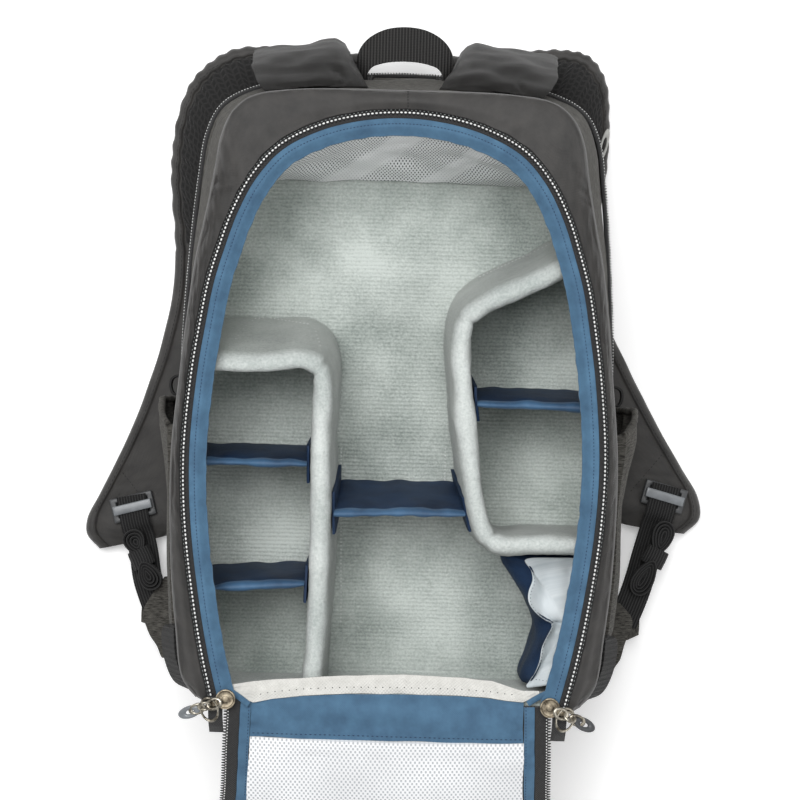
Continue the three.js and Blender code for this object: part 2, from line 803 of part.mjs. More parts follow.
function bayDivider({ ends, y, footY, tabs }) {
  const top = zInner + smallDividerHeight;
  const plan = (z, webHalf, tab) => {
    const lean = (footY * (top - z)) / (top - zFoot);
    const [nearY, farY] = [y[0] + lean, y[1] + lean];
    const near = (dy) => seat(ends[0], -1, nearY + dy, z);
    const far = (dy) => seat(ends[1], 1, farY + dy, z);
    const [a, b] = [tabs[0] / 2, tabs[1] / 2];
    return [
      at(near(-a), nearY - a, z),
      at(near(-a) + tab, nearY - a, z),
      at(near(-webHalf) + tab, nearY - webHalf, z),
      at(far(-webHalf) - tab, farY - webHalf, z),
      at(far(-b) - tab, farY - b, z),
      at(far(-b), farY - b, z),
      at(far(b), farY + b, z),
      at(far(b) - tab, farY + b, z),
      at(far(webHalf) - tab, farY + webHalf, z),
      at(near(webHalf) + tab, nearY + webHalf, z),
      at(near(a) + tab, nearY + a, z),
      at(near(a), nearY + a, z),
    ];
  };
  const half = smallDividerThickness / 2;
  const loops = [0, 0.25, 0.5, 0.75, 0.97].map((share) => {
    return plan(THREE.MathUtils.lerp(zFoot, top, share), half, flapTabThickness);
  });
  return skin([...loops, plan(top, half * 0.5, flapTabThickness * 0.6)]);
}
bayDividers.forEach((row) => piece(row.name, bayDivider(row), 0x2f5078, 0.6));

// The pouch is an open bag of thin cloth, and its lining stands a little above it.

function openCup(mouth, top, foot, wall, gather) {
  const ring = (z, distance) => {
    const cavity = cavityOutline(z);
    const points = mouth.map((row) => at(row.side ? reach(cavity, row.y) - sewnGap : row.x, row.y, z));
    return inset(points, distance);
  };
  return skin([
    ring(foot, gather),
    ring(foot + gather, 0),
    ring(top, 0),
    ring(top, wall),
    ring(foot + gather, wall),
    ring(foot + wall, gather + wall),
  ]);
}
piece("gear_pouch", openCup(pouchMouth, zInner + pouchDepth, zFoot, pouchWall, 2.5), 0x2c4a70, 0.6);

// Binding over the flap's hinge

function hingeBinding() {
  const low = zRim + sewnGap;
  const seam = openingBottom + 3;
  const loops = [];
  for (let i = 0; i <= 12; i++) {
    const across = -1 + i / 6;
    const x = across * (openingWidth / 2) * 0.755;
    const near = seam + 1.6 * (1 - across * across);
    const far = near + bindingWidth - 5 * Math.max(0, Math.abs(across) - 0.7) * 3;
    const high = low + bindingThickness;
    loops.push([at(x, near, low), at(x, far, low), at(x, far, high - 0.6), at(x, (near + far) / 2, high), at(x, near, high - 0.6)]);
  }
  return skin(loops);
}
piece("hinge_binding", hingeBinding(), 0xd9dad6, 0.9);

// The flap: every point of it is given by its side, its distance along the flap from the hinge, and its height
// off the flap's underside.

const flapCurve = new THREE.CatmullRomCurve3(
  flapFall.map(({ run, drop }) => at(0, bottomSeam - run * flapLength, zRim * (1 - drop) + sewnGap)),
  false,
  "centripetal",
);
flapCurve.arcLengthDivisions = 800;
const flapCurveLength = flapCurve.getLength();

function onFlap(side, along, off) {
  const share = THREE.MathUtils.clamp(along / flapCurveLength, 0, 1);
  const point = flapCurve.getPointAt(share);
  const tangent = flapCurve.getTangentAt(share);
  return at(side, point.y + tangent.z * off, point.z - tangent.y * off);
}

const flapArchCount = 88;
const flapArch = archOutline(flapRows, flapWidth, flapLength, 0, flapArchCount);
const flapDepth = (along) =>
  THREE.MathUtils.lerp(flapSeamThickness, flapThickness, Math.min(Math.max(along, 0) / flapSeamWidth, 1));

function flapLoft(outline, start, end, step, section) {
  const count = Math.ceil((end - start) / step);
  const loops = [];
  for (let i = 0; i <= count; i++) {
    const along = start + ((end - start) * i) / count;
    const half = reach(outline, Math.max(along, outline[0].y + 0.1));
    loops.push(section(half, flapDepth(along)).map(([side, off]) => onFlap(side, along, off)));
  }
  return skin(loops);
}

const flapPanel = flapLoft(flapArch, 0, flapLength - 1.2, 9, (half, deep) => [
  [-half + 2, 0],
  [half - 2, 0],
  [half, deep * 0.45],
  [half - 1, deep],
  [-half + 1, deep],
  [-half, deep * 0.45],
]);
piece("flap_panel", flapPanel, 0x46443f);

// A strip along the flap's rim, on its inside.
function flapStrip(start, width, thickness) {
  const section = [
    { into: start, z: flapLayerGap },
    { into: start + width, z: flapLayerGap },
    { into: start + width, z: flapLayerGap + thickness },
    { into: start, z: flapLayerGap + thickness },
  ];
  return skin(rail(flapArch, section, (x, along, z) => onFlap(x, Math.max(along, 0), flapDepth(along) + z)));
}
piece("flap_zip_tape", flapStrip(1.4, flapTapeWidth, clothThickness), 0x1f1f20, 0.6);
const flapFacingStart = 1.4 + flapTapeWidth + sewnGap;
piece("flap_facing", flapStrip(flapFacingStart, flapFacingWidth, clothThickness), 0x44688f, 0.75);

const flapInside = inset(flapArch, flapFacingStart + flapFacingWidth + sewnGap, false);
const flapBand = flapLoft(flapInside, 0.6, flapBandWidth, 6, (half, deep) => [
  [-half, deep + sewnGap],
  [half, deep + sewnGap],
  [half, deep + sewnGap + clothThickness],
  [half * 0.6, deep + sewnGap + clothThickness * 1.8],
  [-half * 0.6, deep + sewnGap + clothThickness * 1.8],
  [-half, deep + sewnGap + clothThickness],
]);
piece("flap_band", flapBand, 0x44688f, 0.75);

const meshEnd = Math.max(...flapInside.map((point) => point.y)) - 1.5;
const flapMesh = flapLoft(flapInside, flapBandWidth + sewnGap, meshEnd, 10, (half, deep) => {
  const low = deep + sewnGap;
  const crown = pocketBulge * Math.min(1, half / 40);
  return [
    [-half, low],
    [half, low],
    [half, low + clothThickness],
    [half * 0.6, low + clothThickness + crown * 0.7],
    [0, low + clothThickness + crown],
    [-half * 0.6, low + clothThickness + crown * 0.7],
    [-half, low + clothThickness],
  ];
});
piece("flap_mesh_pocket", flapMesh, 0xd8dadb, 0.8);

// What comes in a left and a right one

const straps = { left: -1, right: 1 };

function edgeCurve(points, side, count) {
  const curve = new THREE.CatmullRomCurve3(points.map(([x, y]) => at(side * x, y, 0)), false, "centripetal");
  return curve.getPoints(count);
}

function shoulderStrap(rows, side) {
  const count = (rows.length - 1) * 2;
  const outer = edgeCurve(rows.map((row) => row.outer), side, count);
  const inner = edgeCurve(rows.map((row) => row.inner), side, count);
  return padBetween(outer, inner, 0, strapThickness, strapEdge);
}

function yoke(side) {
  const loops = [];
  const count = 14;
  for (let i = 0; i <= count; i++) {
    const along = i / count;
    const x = yokeStart + along * yokeLength;
    const full = lookUp(yokeRows, "along", "full", along);
    loops.push(
      yokeSection.map(({ over, high }, j) => {
        const z = strapThickness + high * (j > 0 && j < 8 ? 0.94 + 0.06 * full : 1);
        const wall = z <= zFloor + 2 ? topReach(back, x) : topReach(bodyOutline(z), x);
        const outside = j > 0 && j < 8;
        return at(side * x, wall + (outside ? 4 + (over - 4) * full : over), z);
      }),
    );
  }
  return skin(loops);
}

function zipEndTab(side) {
  const end = zipLine[0];
  const seamLine = end.y - sewnGap - zipWidth * 0.16;
  const path = [0, 0.35, 0.7, 1].map((share) => {
    return at(side * (end.x + 0.6), seamLine - share * zipTabLength, zZip - 1 - 15 * share * share);
  });
  const half = zipWidth / 2;
  return skin(
    path.map((point, i) => {
      const thick = i === 3 ? zipTabThickness * 0.7 : zipTabThickness;
      return [
        point.clone().add(at(-half, 0, 0)),
        point.clone().add(at(half, 0, 0)),
        point.clone().add(at(half, 0, thick)),
        point.clone().add(at(-half, 0, thick)),
      ];
    }),
  );
}

const zSlider = zZip + zipThickness / 2 + sewnGap;
const sliderSpot = (side) => {
  const end = zipLine[0];
  return at(side * (end.x - zipWidth * 0.85), end.y + 2.5, zSlider);
};
const chainWay = { left: at(-0.93, -0.37, 0), right: at(0.91, -0.42, 0) };

// A teardrop plate: its round end at the spot, its point towards the chain.
function zipSlider(side, way) {
  const spot = sliderSpot(side);
  const outline = [];
  for (let i = 0; i <= 14; i++) {
    const angle = (i / 14) * Math.PI * 1.3 + Math.PI * 0.35;
    outline.push([Math.cos(angle) * sliderRadius, Math.sin(angle) * sliderRadius]);
  }
  outline.push([sliderRadius * 1.7, -sliderRadius * 0.3], [sliderRadius * 1.7, sliderRadius * 0.3]);
  const across = at(-way.y, way.x, 0);
  const ring = (shrink, z) =>
    outline.map(([u, v]) => {
      return spot.clone().addScaledVector(way, u * shrink).addScaledVector(across, v * shrink).setZ(z);
    });
  return skin([
    ring(1, zSlider),
    ring(1, zSlider + sliderThickness * 0.65),
    ring(0.82, zSlider + sliderThickness),
  ]);
}

const wasm = await Module();
wasm.setup();

function solid(geometry) {
  const bare = geometry.clone();
  Object.keys(bare.attributes).forEach((key) => key !== "position" && bare.deleteAttribute(key));
  const merged = mergeVertices(bare, 1e-4);
  const vertProperties = new Float32Array(merged.attributes.position.array);
  return new wasm.Manifold(new wasm.Mesh({ numProp: 3, vertProperties, triVerts: new Uint32Array(merged.index.array) }));
}

function fuse(geometries) {
  const { vertProperties, triVerts } = geometries.map(solid).reduce((sum, next) => sum.add(next)).getMesh();
  const geometry = new THREE.BufferGeometry();
  geometry.setAttribute("position", new THREE.BufferAttribute(vertProperties, 3));
  geometry.setIndex(new THREE.BufferAttribute(triVerts, 1));
  geometry.computeVertexNormals();
  return geometry;
}

// The pull: a ring on the slider, an oval link and a flat tip, drooping outwards.
function zipPull(side, way) {
  const spot = sliderSpot(side).setZ(zSlider + sliderThickness + ringWire + sewnGap);
  const ring = new THREE.TorusGeometry(ringRadius, ringWire, 6, 18);
  ring.translate(...spot.clone().addScaledVector(way, ringRadius * 1.15).toArray());
  const turn = new THREE.Matrix4().makeBasis(
    way.clone().setZ(-0.35).normalize(),
    at(-way.y, way.x, 0),
    way.clone().setZ(-0.35).normalize().cross(at(-way.y, way.x, 0)),
  );
  const link = new THREE.TorusGeometry(linkWidth / 2, linkWire, 6, 14).scale(linkLength / linkWidth, 1, 1);
  const tip = new THREE.CylinderGeometry(tipRadius, tipRadius * 0.8, tipLength, 10, 1);
  tip.rotateZ(Math.PI / 2).scale(1, 1, 0.5);
  const start = ringRadius * 2.15;
  [
    [link, start + linkLength * 0.5 - ringWire * 2],
    [tip, start + linkLength + tipLength * 0.5 - ringWire * 4],
  ].forEach(([geometry, along]) => {
    geometry.applyMatrix4(turn);
    const drop = Math.max(0, along - start) * 0.35;
    geometry.translate(...spot.clone().addScaledVector(way, along).add(at(0, 0, -drop)).toArray());
  });
  return fuse([ring, link, tip]);
}

// A side pocket: a thin bowed wall that stands off the bag, open towards the top of the bag.
function sidePocket(side) {
  const heights = [0, 0.1, 0.25, 0.42, 0.58, 0.75, 0.9, 1];
  const bow = heights.map((h) => Math.sin(Math.PI * (0.04 + 0.92 * h)) ** 0.6);
  const ups = pocketRows.flatMap((row, i) => {
    const next = pocketRows[i + 1];
    if (!next) return [row];
    return [0, 1, 2].map((part) => ({
      up: THREE.MathUtils.lerp(row.up, next.up, part / 3),
      swell: THREE.MathUtils.lerp(row.swell, next.swell, part / 3),
    }));
  });
  return skin(
    ups.map(({ up, swell }) => {
      const stand = swell * pocketStandoff;
      const point = (h, i, off) => {
        const z = THREE.MathUtils.lerp(pocketFloor, pocketTop, h);
        return at(side * (reach(bodyOutline(z), up) + off), up, z);
      };
      const outer = heights.map((h, i) => point(h, i, sewnGap + pocketWall + stand * bow[i]));
      const inner = heights.map((h, i) => {
        const edge = i === 0 || i === heights.length - 1;
        return point(h, i, sewnGap + (edge ? 0 : Math.max(stand * bow[i], 0.4)));
      });
      return [...outer, ...inner.reverse()];
    }),
  );
}

function buckle(side, { out, down, turn }) {
  const plate = new THREE.Shape();
  const [w, l, r] = [buckleWidth / 2, buckleLength / 2, 3];
  plate.moveTo(-w + r, -l).lineTo(w - r, -l).absarc(w - r, -l + r, r, -Math.PI / 2, 0);
  plate.lineTo(w, l - r).absarc(w - r, l - r, r, 0, Math.PI / 2);
  plate.lineTo(-w + r, l).absarc(-w + r, l - r, r, Math.PI / 2, Math.PI);
  plate.lineTo(-w, -l + r).absarc(-w + r, -l + r, r, Math.PI, Math.PI * 1.5);
  const slot = (buckleLength - buckleBar * 3) / 2;
  [-1, 1].forEach((row) => {
    const middle = (row * (buckleBar + slot)) / 2;
    const hole = new THREE.Path();
    const half = webbingWidth / 2 + 1;
    hole.moveTo(-half, middle - slot / 2).lineTo(half, middle - slot / 2);
    hole.lineTo(half, middle + slot / 2).lineTo(-half, middle + slot / 2).closePath();
    plate.holes.push(hole);
  });
  const geometry = new THREE.ExtrudeGeometry(plate, { depth: buckleThickness, bevelEnabled: false, curveSegments: 4 });
  geometry.rotateZ(side * THREE.MathUtils.degToRad(turn));
  return geometry.translate(side * out, -down, strapThickness + sewnGap);
}

const sideLine = (rows, side) => rows.map((row) => at(side * row.out, -row.down, 0));

function lowerWebbing(rows, side) {
  const path = sideLine(rows, side);
  const across = sideways(path);
  return skin(
    path.map((point, i) => {
      const half = webbingWidth / 2;
      const low = rows[i].high;
      const section = [
        [-half, low],
        [half, low],
        [half, low + webbingThickness],
        [-half, low + webbingThickness],
      ];
      return section.map(([offset, z]) => point.clone().addScaledVector(across[i], offset).setZ(z));
    }),
  );
}

const bundleHeight = (rows, down) =>
  lookUp(rows, "down", "high", down) + webbingThickness + 0.6 + (bundleThickness / 2) * 1.12;

// The rolled end of the webbing, drawn in at its waist by the keeper.
function webbingRoll(rows, webbing, side) {
  const path = sideLine(rows, side);
  const across = sideways(path);
  return skin(
    path.map((point, i) => {
      const z = bundleHeight(webbing, rows[i].down);
      return Array.from({ length: 10 }, (_, j) => {
        const angle = (j / 10) * Math.PI * 2;
        const wide = Math.sign(Math.cos(angle)) * Math.abs(Math.cos(angle)) ** 0.7 * (bundleWidth / 2) * rows[i].swell;
        const tall = Math.sign(Math.sin(angle)) * Math.abs(Math.sin(angle)) ** 0.7 * (bundleThickness / 2) * rows[i].swell;
        return point.clone().addScaledVector(across[i], wide).setZ(z + tall);
      });
    }),
  );
}

function webbingKeeper(rows, webbing, side) {
  const [a, b] = [rows[3], rows[4]];
  const path = sideLine([a, b], side);
  const across = sideways(path)[0];
  const ends = [0.12, 0.88].map((share) => path[0].clone().lerp(path[1], share));
  const zs = [0.12, 0.88].map((share) => bundleHeight(webbing, THREE.MathUtils.lerp(a.down, b.down, share)));
  const ring = (index, grow) =>
    Array.from({ length: 14 }, (_, j) => {
      const angle = (j / 14) * Math.PI * 2;
      const wide = Math.sign(Math.cos(angle)) * Math.abs(Math.cos(angle)) ** 0.7 * ((bundleWidth / 2) * a.swell + grow);
      const tall = Math.sign(Math.sin(angle)) * Math.abs(Math.sin(angle)) ** 0.7 * ((bundleThickness / 2) * a.swell + grow);
      return ends[index].clone().addScaledVector(across, wide).setZ(zs[index] + tall);
    });
  const inner = sewnGap * 1.6;
  return skin([ring(0, inner), ring(0, inner + keeperThickness), ring(1, inner + keeperThickness), ring(1, inner)], "joined");
}

function sideTab(side) {
  const { high, rootDown, tipOut, tipDown } = tabSpot;
  const outline = bodyOutline(high + tabThickness);
  const roots = [0, 0.2, 0.4, 0.6, 0.8, 1].map((share) => {
    const y = -THREE.MathUtils.lerp(rootDown[0], rootDown[1], share);
    return at(side * (reach(outline, y) + sewnGap * 2), y, 0);
  });
  const tips = [tipDown[1], tipDown[0]].map((down) => at(side * tipOut, -down, 0));
  const plan = [...roots, ...tips];
  return skin([level(plan, high), level(plan, high + tabThickness)]);
}

function sideLoop(side) {
  return skin(
    loopRows.map(({ down, off }) => {
      const upper = loopHigh + loopWidth;
      const top = reach(bodyOutline(upper), -down) + sewnGap;
      const low = reach(bodyOutline(loopHigh), -down) + sewnGap;
      return [
        at(side * (low + off - loopThickness * 0.4), -down, loopHigh),
        at(side * (low + off + loopThickness), -down, loopHigh),
        at(side * (top + off * 0.12 + loopThickness), -down, upper),
        at(side * (top + off * 0.12), -down, upper),
      ];
    }),
  );
}

function grabHandle() {
  const loops = handleRows.map((row) => {
    const place = (share, off, z) => {
      const x = share * handleHalfSpan;
      const wall = topReach(bodyOutline(z), x) + sewnGap * 2.2;
      return at(x, row.sewn ? wall : topReach(back, x) + off, z);
    };
    const far = place(row.side, row.off, row.high);
    const near = place(row.nearSide, row.nearOff, row.nearHigh);
    const thick = row.sewn ? at(0, handleThickness * 0.9, handleThickness * 0.4) : at(0, 0, handleThickness);
    return [far, near, near.clone().add(thick), far.clone().add(thick)];
  });
  return skin(loops);
}
piece("grab_handle", grabHandle(), 0x232323, 0.7);

Object.entries(straps).forEach(([name, side]) => {
  piece(`side_pocket_${name}`, sidePocket(side), 0x4b4a47, 0.95);
  piece(`shoulder_strap_${name}`, shoulderStrap(strapRows[name], side), 0x353432, 0.85);
  piece(`yoke_${name}`, yoke(side), 0x403e3c, 0.75);
  piece(`zip_end_tab_${name}`, zipEndTab(side), 0x222222, 0.9);
  piece(`zip_slider_${name}`, zipSlider(side, chainWay[name]), 0x8b8578, 0.35, 0.9);
  piece(`zip_pull_${name}`, zipPull(side, chainWay[name]), 0xa39d90, 0.3, 0.9);
  piece(`strap_buckle_${name}`, buckle(side, buckleSpots[name]), 0x3a3c3d, 0.45);
  piece(`lower_webbing_${name}`, lowerWebbing(webbingRows[name], side), 0x2d2d2c, 0.9);
  piece(`webbing_roll_${name}`, webbingRoll(bundleRows[name], webbingRows[name], side), 0x2d2d2c, 0.9);
  piece(`webbing_keeper_${name}`, webbingKeeper(bundleRows[name], webbingRows[name], side), 0x262626, 0.9);
  piece(`side_tab_${name}`, sideTab(side), 0x393836, 0.9);
  piece(`side_loop_${name}`, sideLoop(side), 0x2f2f2e, 0.9);
});

export default group;
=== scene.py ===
import math

import bpy
import numpy as np
from mathutils import Matrix, Vector, noise
from mathutils.bvhtree import BVHTree


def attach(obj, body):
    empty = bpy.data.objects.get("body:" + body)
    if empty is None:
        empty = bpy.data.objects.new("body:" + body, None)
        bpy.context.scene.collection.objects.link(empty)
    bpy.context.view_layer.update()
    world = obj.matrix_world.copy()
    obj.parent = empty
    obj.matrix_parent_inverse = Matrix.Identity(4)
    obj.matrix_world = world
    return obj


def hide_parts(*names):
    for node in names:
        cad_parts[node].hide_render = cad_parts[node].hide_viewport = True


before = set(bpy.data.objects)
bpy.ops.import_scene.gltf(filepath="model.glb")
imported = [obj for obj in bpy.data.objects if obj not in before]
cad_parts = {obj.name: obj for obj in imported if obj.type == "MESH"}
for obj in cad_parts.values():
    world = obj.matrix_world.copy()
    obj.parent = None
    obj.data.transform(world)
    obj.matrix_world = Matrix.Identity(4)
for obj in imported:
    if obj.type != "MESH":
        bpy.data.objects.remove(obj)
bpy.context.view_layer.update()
mm = 0.001
names = {-1: "left", 1: "right"}
tags = {-1: "Left", 1: "Right"}


def startFrom(adder, **values):
    if bpy.context.object and bpy.context.object.mode != "OBJECT":
        bpy.ops.object.mode_set(mode="OBJECT")
    bpy.ops.object.select_all(action="DESELECT")
    adder(**values)
    made = bpy.context.object
    made.data.transform(made.matrix_world)
    made.matrix_world = Matrix.Identity(4)
    return made


# Camera, light and floor

view = {"height": 1.57, "middle": (0.0026, 0.0), "roll": 1.54, "lens": 100.8, "overhead": 50, "fill": 9, "sky": 0.42}

camera = bpy.data.objects.new("photoCamera", bpy.data.cameras.new("photoCamera"))
bpy.context.collection.objects.link(camera)
camera.data.lens = view["lens"]
camera.data.sensor_width = 36
camera.data.clip_end = 20
turn = math.radians(view["roll"])
camera.rotation_euler = (0, 0, turn)
camera.location = (view["middle"][0] * math.cos(turn), view["middle"][0] * math.sin(turn), view["height"])
bpy.context.scene.camera = camera


def areaLight(name, energy, size, location, aim):
    lamp = bpy.data.objects.new(name, bpy.data.lights.new(name, "AREA"))
    lamp.data.energy = energy
    lamp.data.shape = "RECTANGLE"
    lamp.data.size, lamp.data.size_y = size
    lamp.location = location
    lamp.rotation_euler = (Vector(aim) - Vector(location)).to_track_quat("-Z", "Y").to_euler()
    lamp.visible_camera = False
    bpy.context.collection.objects.link(lamp)


areaLight("overheadLight", view["overhead"], (1.7, 1.3), (-0.35, 0.55, 2.3), (0, 0, 0))
areaLight("fillLight", view["fill"], (1.4, 1.4), (1.3, -0.7, 1.8), (0, -0.05, 0.05))
world = bpy.data.worlds.new("studio")
world.use_nodes = True
world.node_tree.nodes["Background"].inputs["Color"].default_value = (1, 1, 1, 1)
world.node_tree.nodes["Background"].inputs["Strength"].default_value = view["sky"]
bpy.context.scene.world = world
bpy.context.scene.view_settings.view_transform = "Standard"

floor = startFrom(bpy.ops.mesh.primitive_plane_add, size=9, location=(0, 0, -0.0005))
floor.name = "studioFloor"
print("camera, light and floor are in")


# Materials


def srgb(*levels):
    return tuple(((c / 255 + 0.055) / 1.055) ** 2.4 if c > 10 else c / 3294 for c in levels)


def newMaterial(name, color, roughness, **sockets):
    material = bpy.data.materials.new(name)
    material.use_nodes = True
    shader = material.node_tree.nodes["Principled BSDF"]
    shader.inputs["Base Color"].default_value = (*srgb(*color), 1)
    shader.inputs["Roughness"].default_value = roughness
    for key, value in sockets.items():
        shader.inputs[key.replace("_", " ")].default_value = value
    return material, material.node_tree, shader


def add(tree, kind, inputs, **settings):
    made = tree.nodes.new("ShaderNode" + kind)
    for key, value in settings.items():
        setattr(made, key, value)
    for key, value in inputs.items():
        if isinstance(value, bpy.types.NodeSocket):
            tree.links.new(value, made.inputs[key])
        else:
            made.inputs[key].default_value = value
    return made


def calc(tree, operation, first, second=0.0, third=0.0):
    return add(tree, "Math", {0: first, 1: second, 2: third}, operation=operation).outputs[0]


def coordinates(tree, kind="UV", stretch=(1, 1, 1)):
    source = add(tree, "TexCoord", {}).outputs[kind]
    return add(tree, "Mapping", {"Vector": source, "Scale": stretch}).outputs[0]


def grain(tree, vector, scale, detail=2.0, roughness=0.5):
    inputs = {"Vector": vector, "Scale": scale, "Detail": detail, "Roughness": roughness}
    return add(tree, "TexNoise", inputs).outputs[0]


def ramp(tree, factor, low, high, start=0.3, end=0.7):
    made = add(tree, "ValToRGB", {"Fac": factor})
    made.color_ramp.elements[0].position, made.color_ramp.elements[1].position = start, end
    made.color_ramp.elements[0].color, made.color_ramp.elements[1].color = (*srgb(*low), 1), (*srgb(*high), 1)
    return made.outputs[0]


def mixed(tree, factor, first, second):
    made = add(tree, "Mix", {0: factor}, data_type="RGBA")
    for index, value in ((6, first), (7, second)):
        if isinstance(value, bpy.types.NodeSocket):
            tree.links.new(value, made.inputs[index])
        else:
            made.inputs[index].default_value = (*srgb(*value), 1)
    return made.outputs[2]


def raised(tree, shader, height, distance, strength=1.0, under=None):
    inputs = {"Height": height, "Distance": distance, "Strength": strength}
    if under is not None:
        inputs["Normal"] = under
    normal = add(tree, "Bump", inputs).outputs[0]
    tree.links.new(normal, shader.inputs["Normal"])
    return normal


def split(tree, vector):
    return add(tree, "SeparateXYZ", {0: vector}).outputs


def times(tree, first, second):
    return calc(tree, "MULTIPLY", first, second)


def remap(tree, value, low, high, least=0.0):
    return add(tree, "MapRange", {"Value": value, "From Min": low, "From Max": high, "To Min": least}).outputs[0]


def paint(tree, shader, color):
    tree.links.new(color, shader.inputs["Base Color"])


def weave(tree, vector, pitch):
    across, along = (calc(tree, "SINE", times(tree, part, math.pi / pitch)) for part in split(tree, vector)[:2])
    return times(tree, across, along)


def clothMaterial(name, dark, light, roughness, pitch, high, patch=60, streaks=(1, 1, 1), **sockets):
    material, tree, shader = newMaterial(name, light, roughness, **sockets)
    paint(tree, shader, ramp(tree, grain(tree, coordinates(tree, "UV", streaks), patch, 4, 0.65), dark, light))
    fold = raised(tree, shader, grain(tree, coordinates(tree, "Object"), 55, 3), 0.0012, 0.35)
    raised(tree, shader, weave(tree, coordinates(tree), pitch), high, 0.6, fold)
    return material


def feltMaterial(name, dark, light, fuzz, size, ribPitch=0, lower=None):
    material, tree, shader = newMaterial(name, light, 0.95, Sheen_Weight=0.35, Sheen_Roughness=0.6)
    spot = coordinates(tree, "Object")
    fine = times(tree, grain(tree, spot, size, 4, 0.7), 0.45)
    tone = calc(tree, "MULTIPLY_ADD", grain(tree, spot, 18, 3), 0.55, fine)
    broad = raised(tree, shader, grain(tree, spot, size * 0.35, 3), fuzz * 2, 0.5)
    if ribPitch:
        waver = times(tree, grain(tree, spot, 60, 2), 3)
        rib = calc(tree, "SINE", calc(tree, "MULTIPLY_ADD", split(tree, spot)[1], 2 * math.pi / ribPitch, waver))
        tone = calc(tree, "MULTIPLY_ADD", rib, 0.022, tone)
        broad = raised(tree, shader, rib, 0.0003, 0.6, broad)
    cloth = ramp(tree, tone, dark, light, 0.36, 0.62)
    if lower:  # painted shade: darker felt tones on the sides, blended by height up to the brushed ridge
        height = calc(tree, "MULTIPLY_ADD", grain(tree, spot, 45, 2), 0.003, split(tree, spot)[2])
        cloth = mixed(tree, remap(tree, height, *lower[2:]), ramp(tree, tone, *lower[:2], 0.36, 0.62), cloth)
    paint(tree, shader, cloth)
    raised(tree, shader, grain(tree, spot, size, 6, 0.75), fuzz, 0.8, broad)
    return material


def meshMaterial(name, cloth, hole, pitches, start, edge, folds=()):
    material, tree, shader = newMaterial(name, cloth, 0.7, Sheen_Weight=0.15)
    parts = split(tree, coordinates(tree))
    u, v = (calc(tree, "COSINE", times(tree, part, math.pi / pitch)) for part, pitch in zip(parts, pitches))
    opening = remap(tree, times(tree, u, v), start, start + edge)
    spot = split(tree, coordinates(tree, "Object"))
    for slope, offset, half in folds:  # where the mesh lies double, its holes close
        line = calc(tree, "MULTIPLY_ADD", spot[0], slope, spot[1])
        away = calc(tree, "ABSOLUTE", calc(tree, "SUBTRACT", line, offset))
        opening = times(tree, opening, remap(tree, away, half * 0.8, half * 1.3, 0.22))
    tint = ramp(tree, grain(tree, coordinates(tree, "Object"), 20, 3), tuple(c * 0.93 for c in cloth), cloth)
    paint(tree, shader, mixed(tree, opening, tint, hole))
    raised(tree, shader, times(tree, opening, -1), 0.0005, 0.7)
    return material


def ribbedMaterial(name, ribAxis, pitch, height, dark=(18, 18, 19), light=(52, 52, 52), kind="UV"):
    material, tree, shader = newMaterial(name, light, 0.75, Sheen_Weight=0.02, Specular_IOR_Level=0.3)
    parts = split(tree, coordinates(tree, kind))
    rib = calc(tree, "SINE", times(tree, parts[ribAxis], 2 * math.pi / pitch))
    twill = calc(tree, "SINE", times(tree, parts[1 - ribAxis], 2 * math.pi / 0.0011))
    tone = calc(tree, "MULTIPLY_ADD", rib, 0.3, calc(tree, "MULTIPLY_ADD", twill, 0.1, 0.5))
    paint(tree, shader, ramp(tree, tone, dark, light, 0.2, 0.85))
    raised(tree, shader, twill, 0.00012, 0.6, raised(tree, shader, rib, height, 0.9))
    return material


def airMeshMaterial():
    material, tree, shader = newMaterial("airMesh", (40, 40, 40), 0.85, Sheen_Weight=0.15)
    parts = split(tree, coordinates(tree))
    flat = add(tree, "CombineXYZ", {0: parts[0], 1: parts[1], 2: 0.0}).outputs[0]
    cells = {"Vector": flat, "Scale": 250, "Randomness": 0.12}
    wall = remap(tree, add(tree, "TexVoronoi", cells, feature="DISTANCE_TO_EDGE").outputs[0], 0.05, 0.28)
    paint(tree, shader, mixed(tree, wall, (32, 31, 31), (11, 11, 11)))
    dip = raised(tree, shader, times(tree, wall, -1), 0.0007, 0.7)
    raised(tree, shader, weave(tree, coordinates(tree), 0.0006), 0.0001, 0.5, dip)
    return material


def hardMaterial(name, roughness, patina, grit, high, span=(0.3, 0.7), **sockets):
    dark, light = patina[:2]
    material, tree, shader = newMaterial(name, light, roughness, **sockets)
    spot = coordinates(tree, "Object")
    paint(tree, shader, ramp(tree, grain(tree, spot, *patina[2:]), dark, light, *span))
    raised(tree, shader, grain(tree, spot, *grit), high, 0.5)
    return material


def plasticMaterial(name, color, roughness):
    patina = (tuple(c * 0.85 for c in color), color, 160, 3)
    return hardMaterial(name, roughness, patina, (2600, 2), 0.00004, Specular_IOR_Level=0.5)


def metalMaterial(name, dark, light, roughness):
    return hardMaterial(name, roughness, (dark, light, 260, 5, 0.7), (1500, 3), 0.00005, (0.35, 0.6), Metallic=1.0)


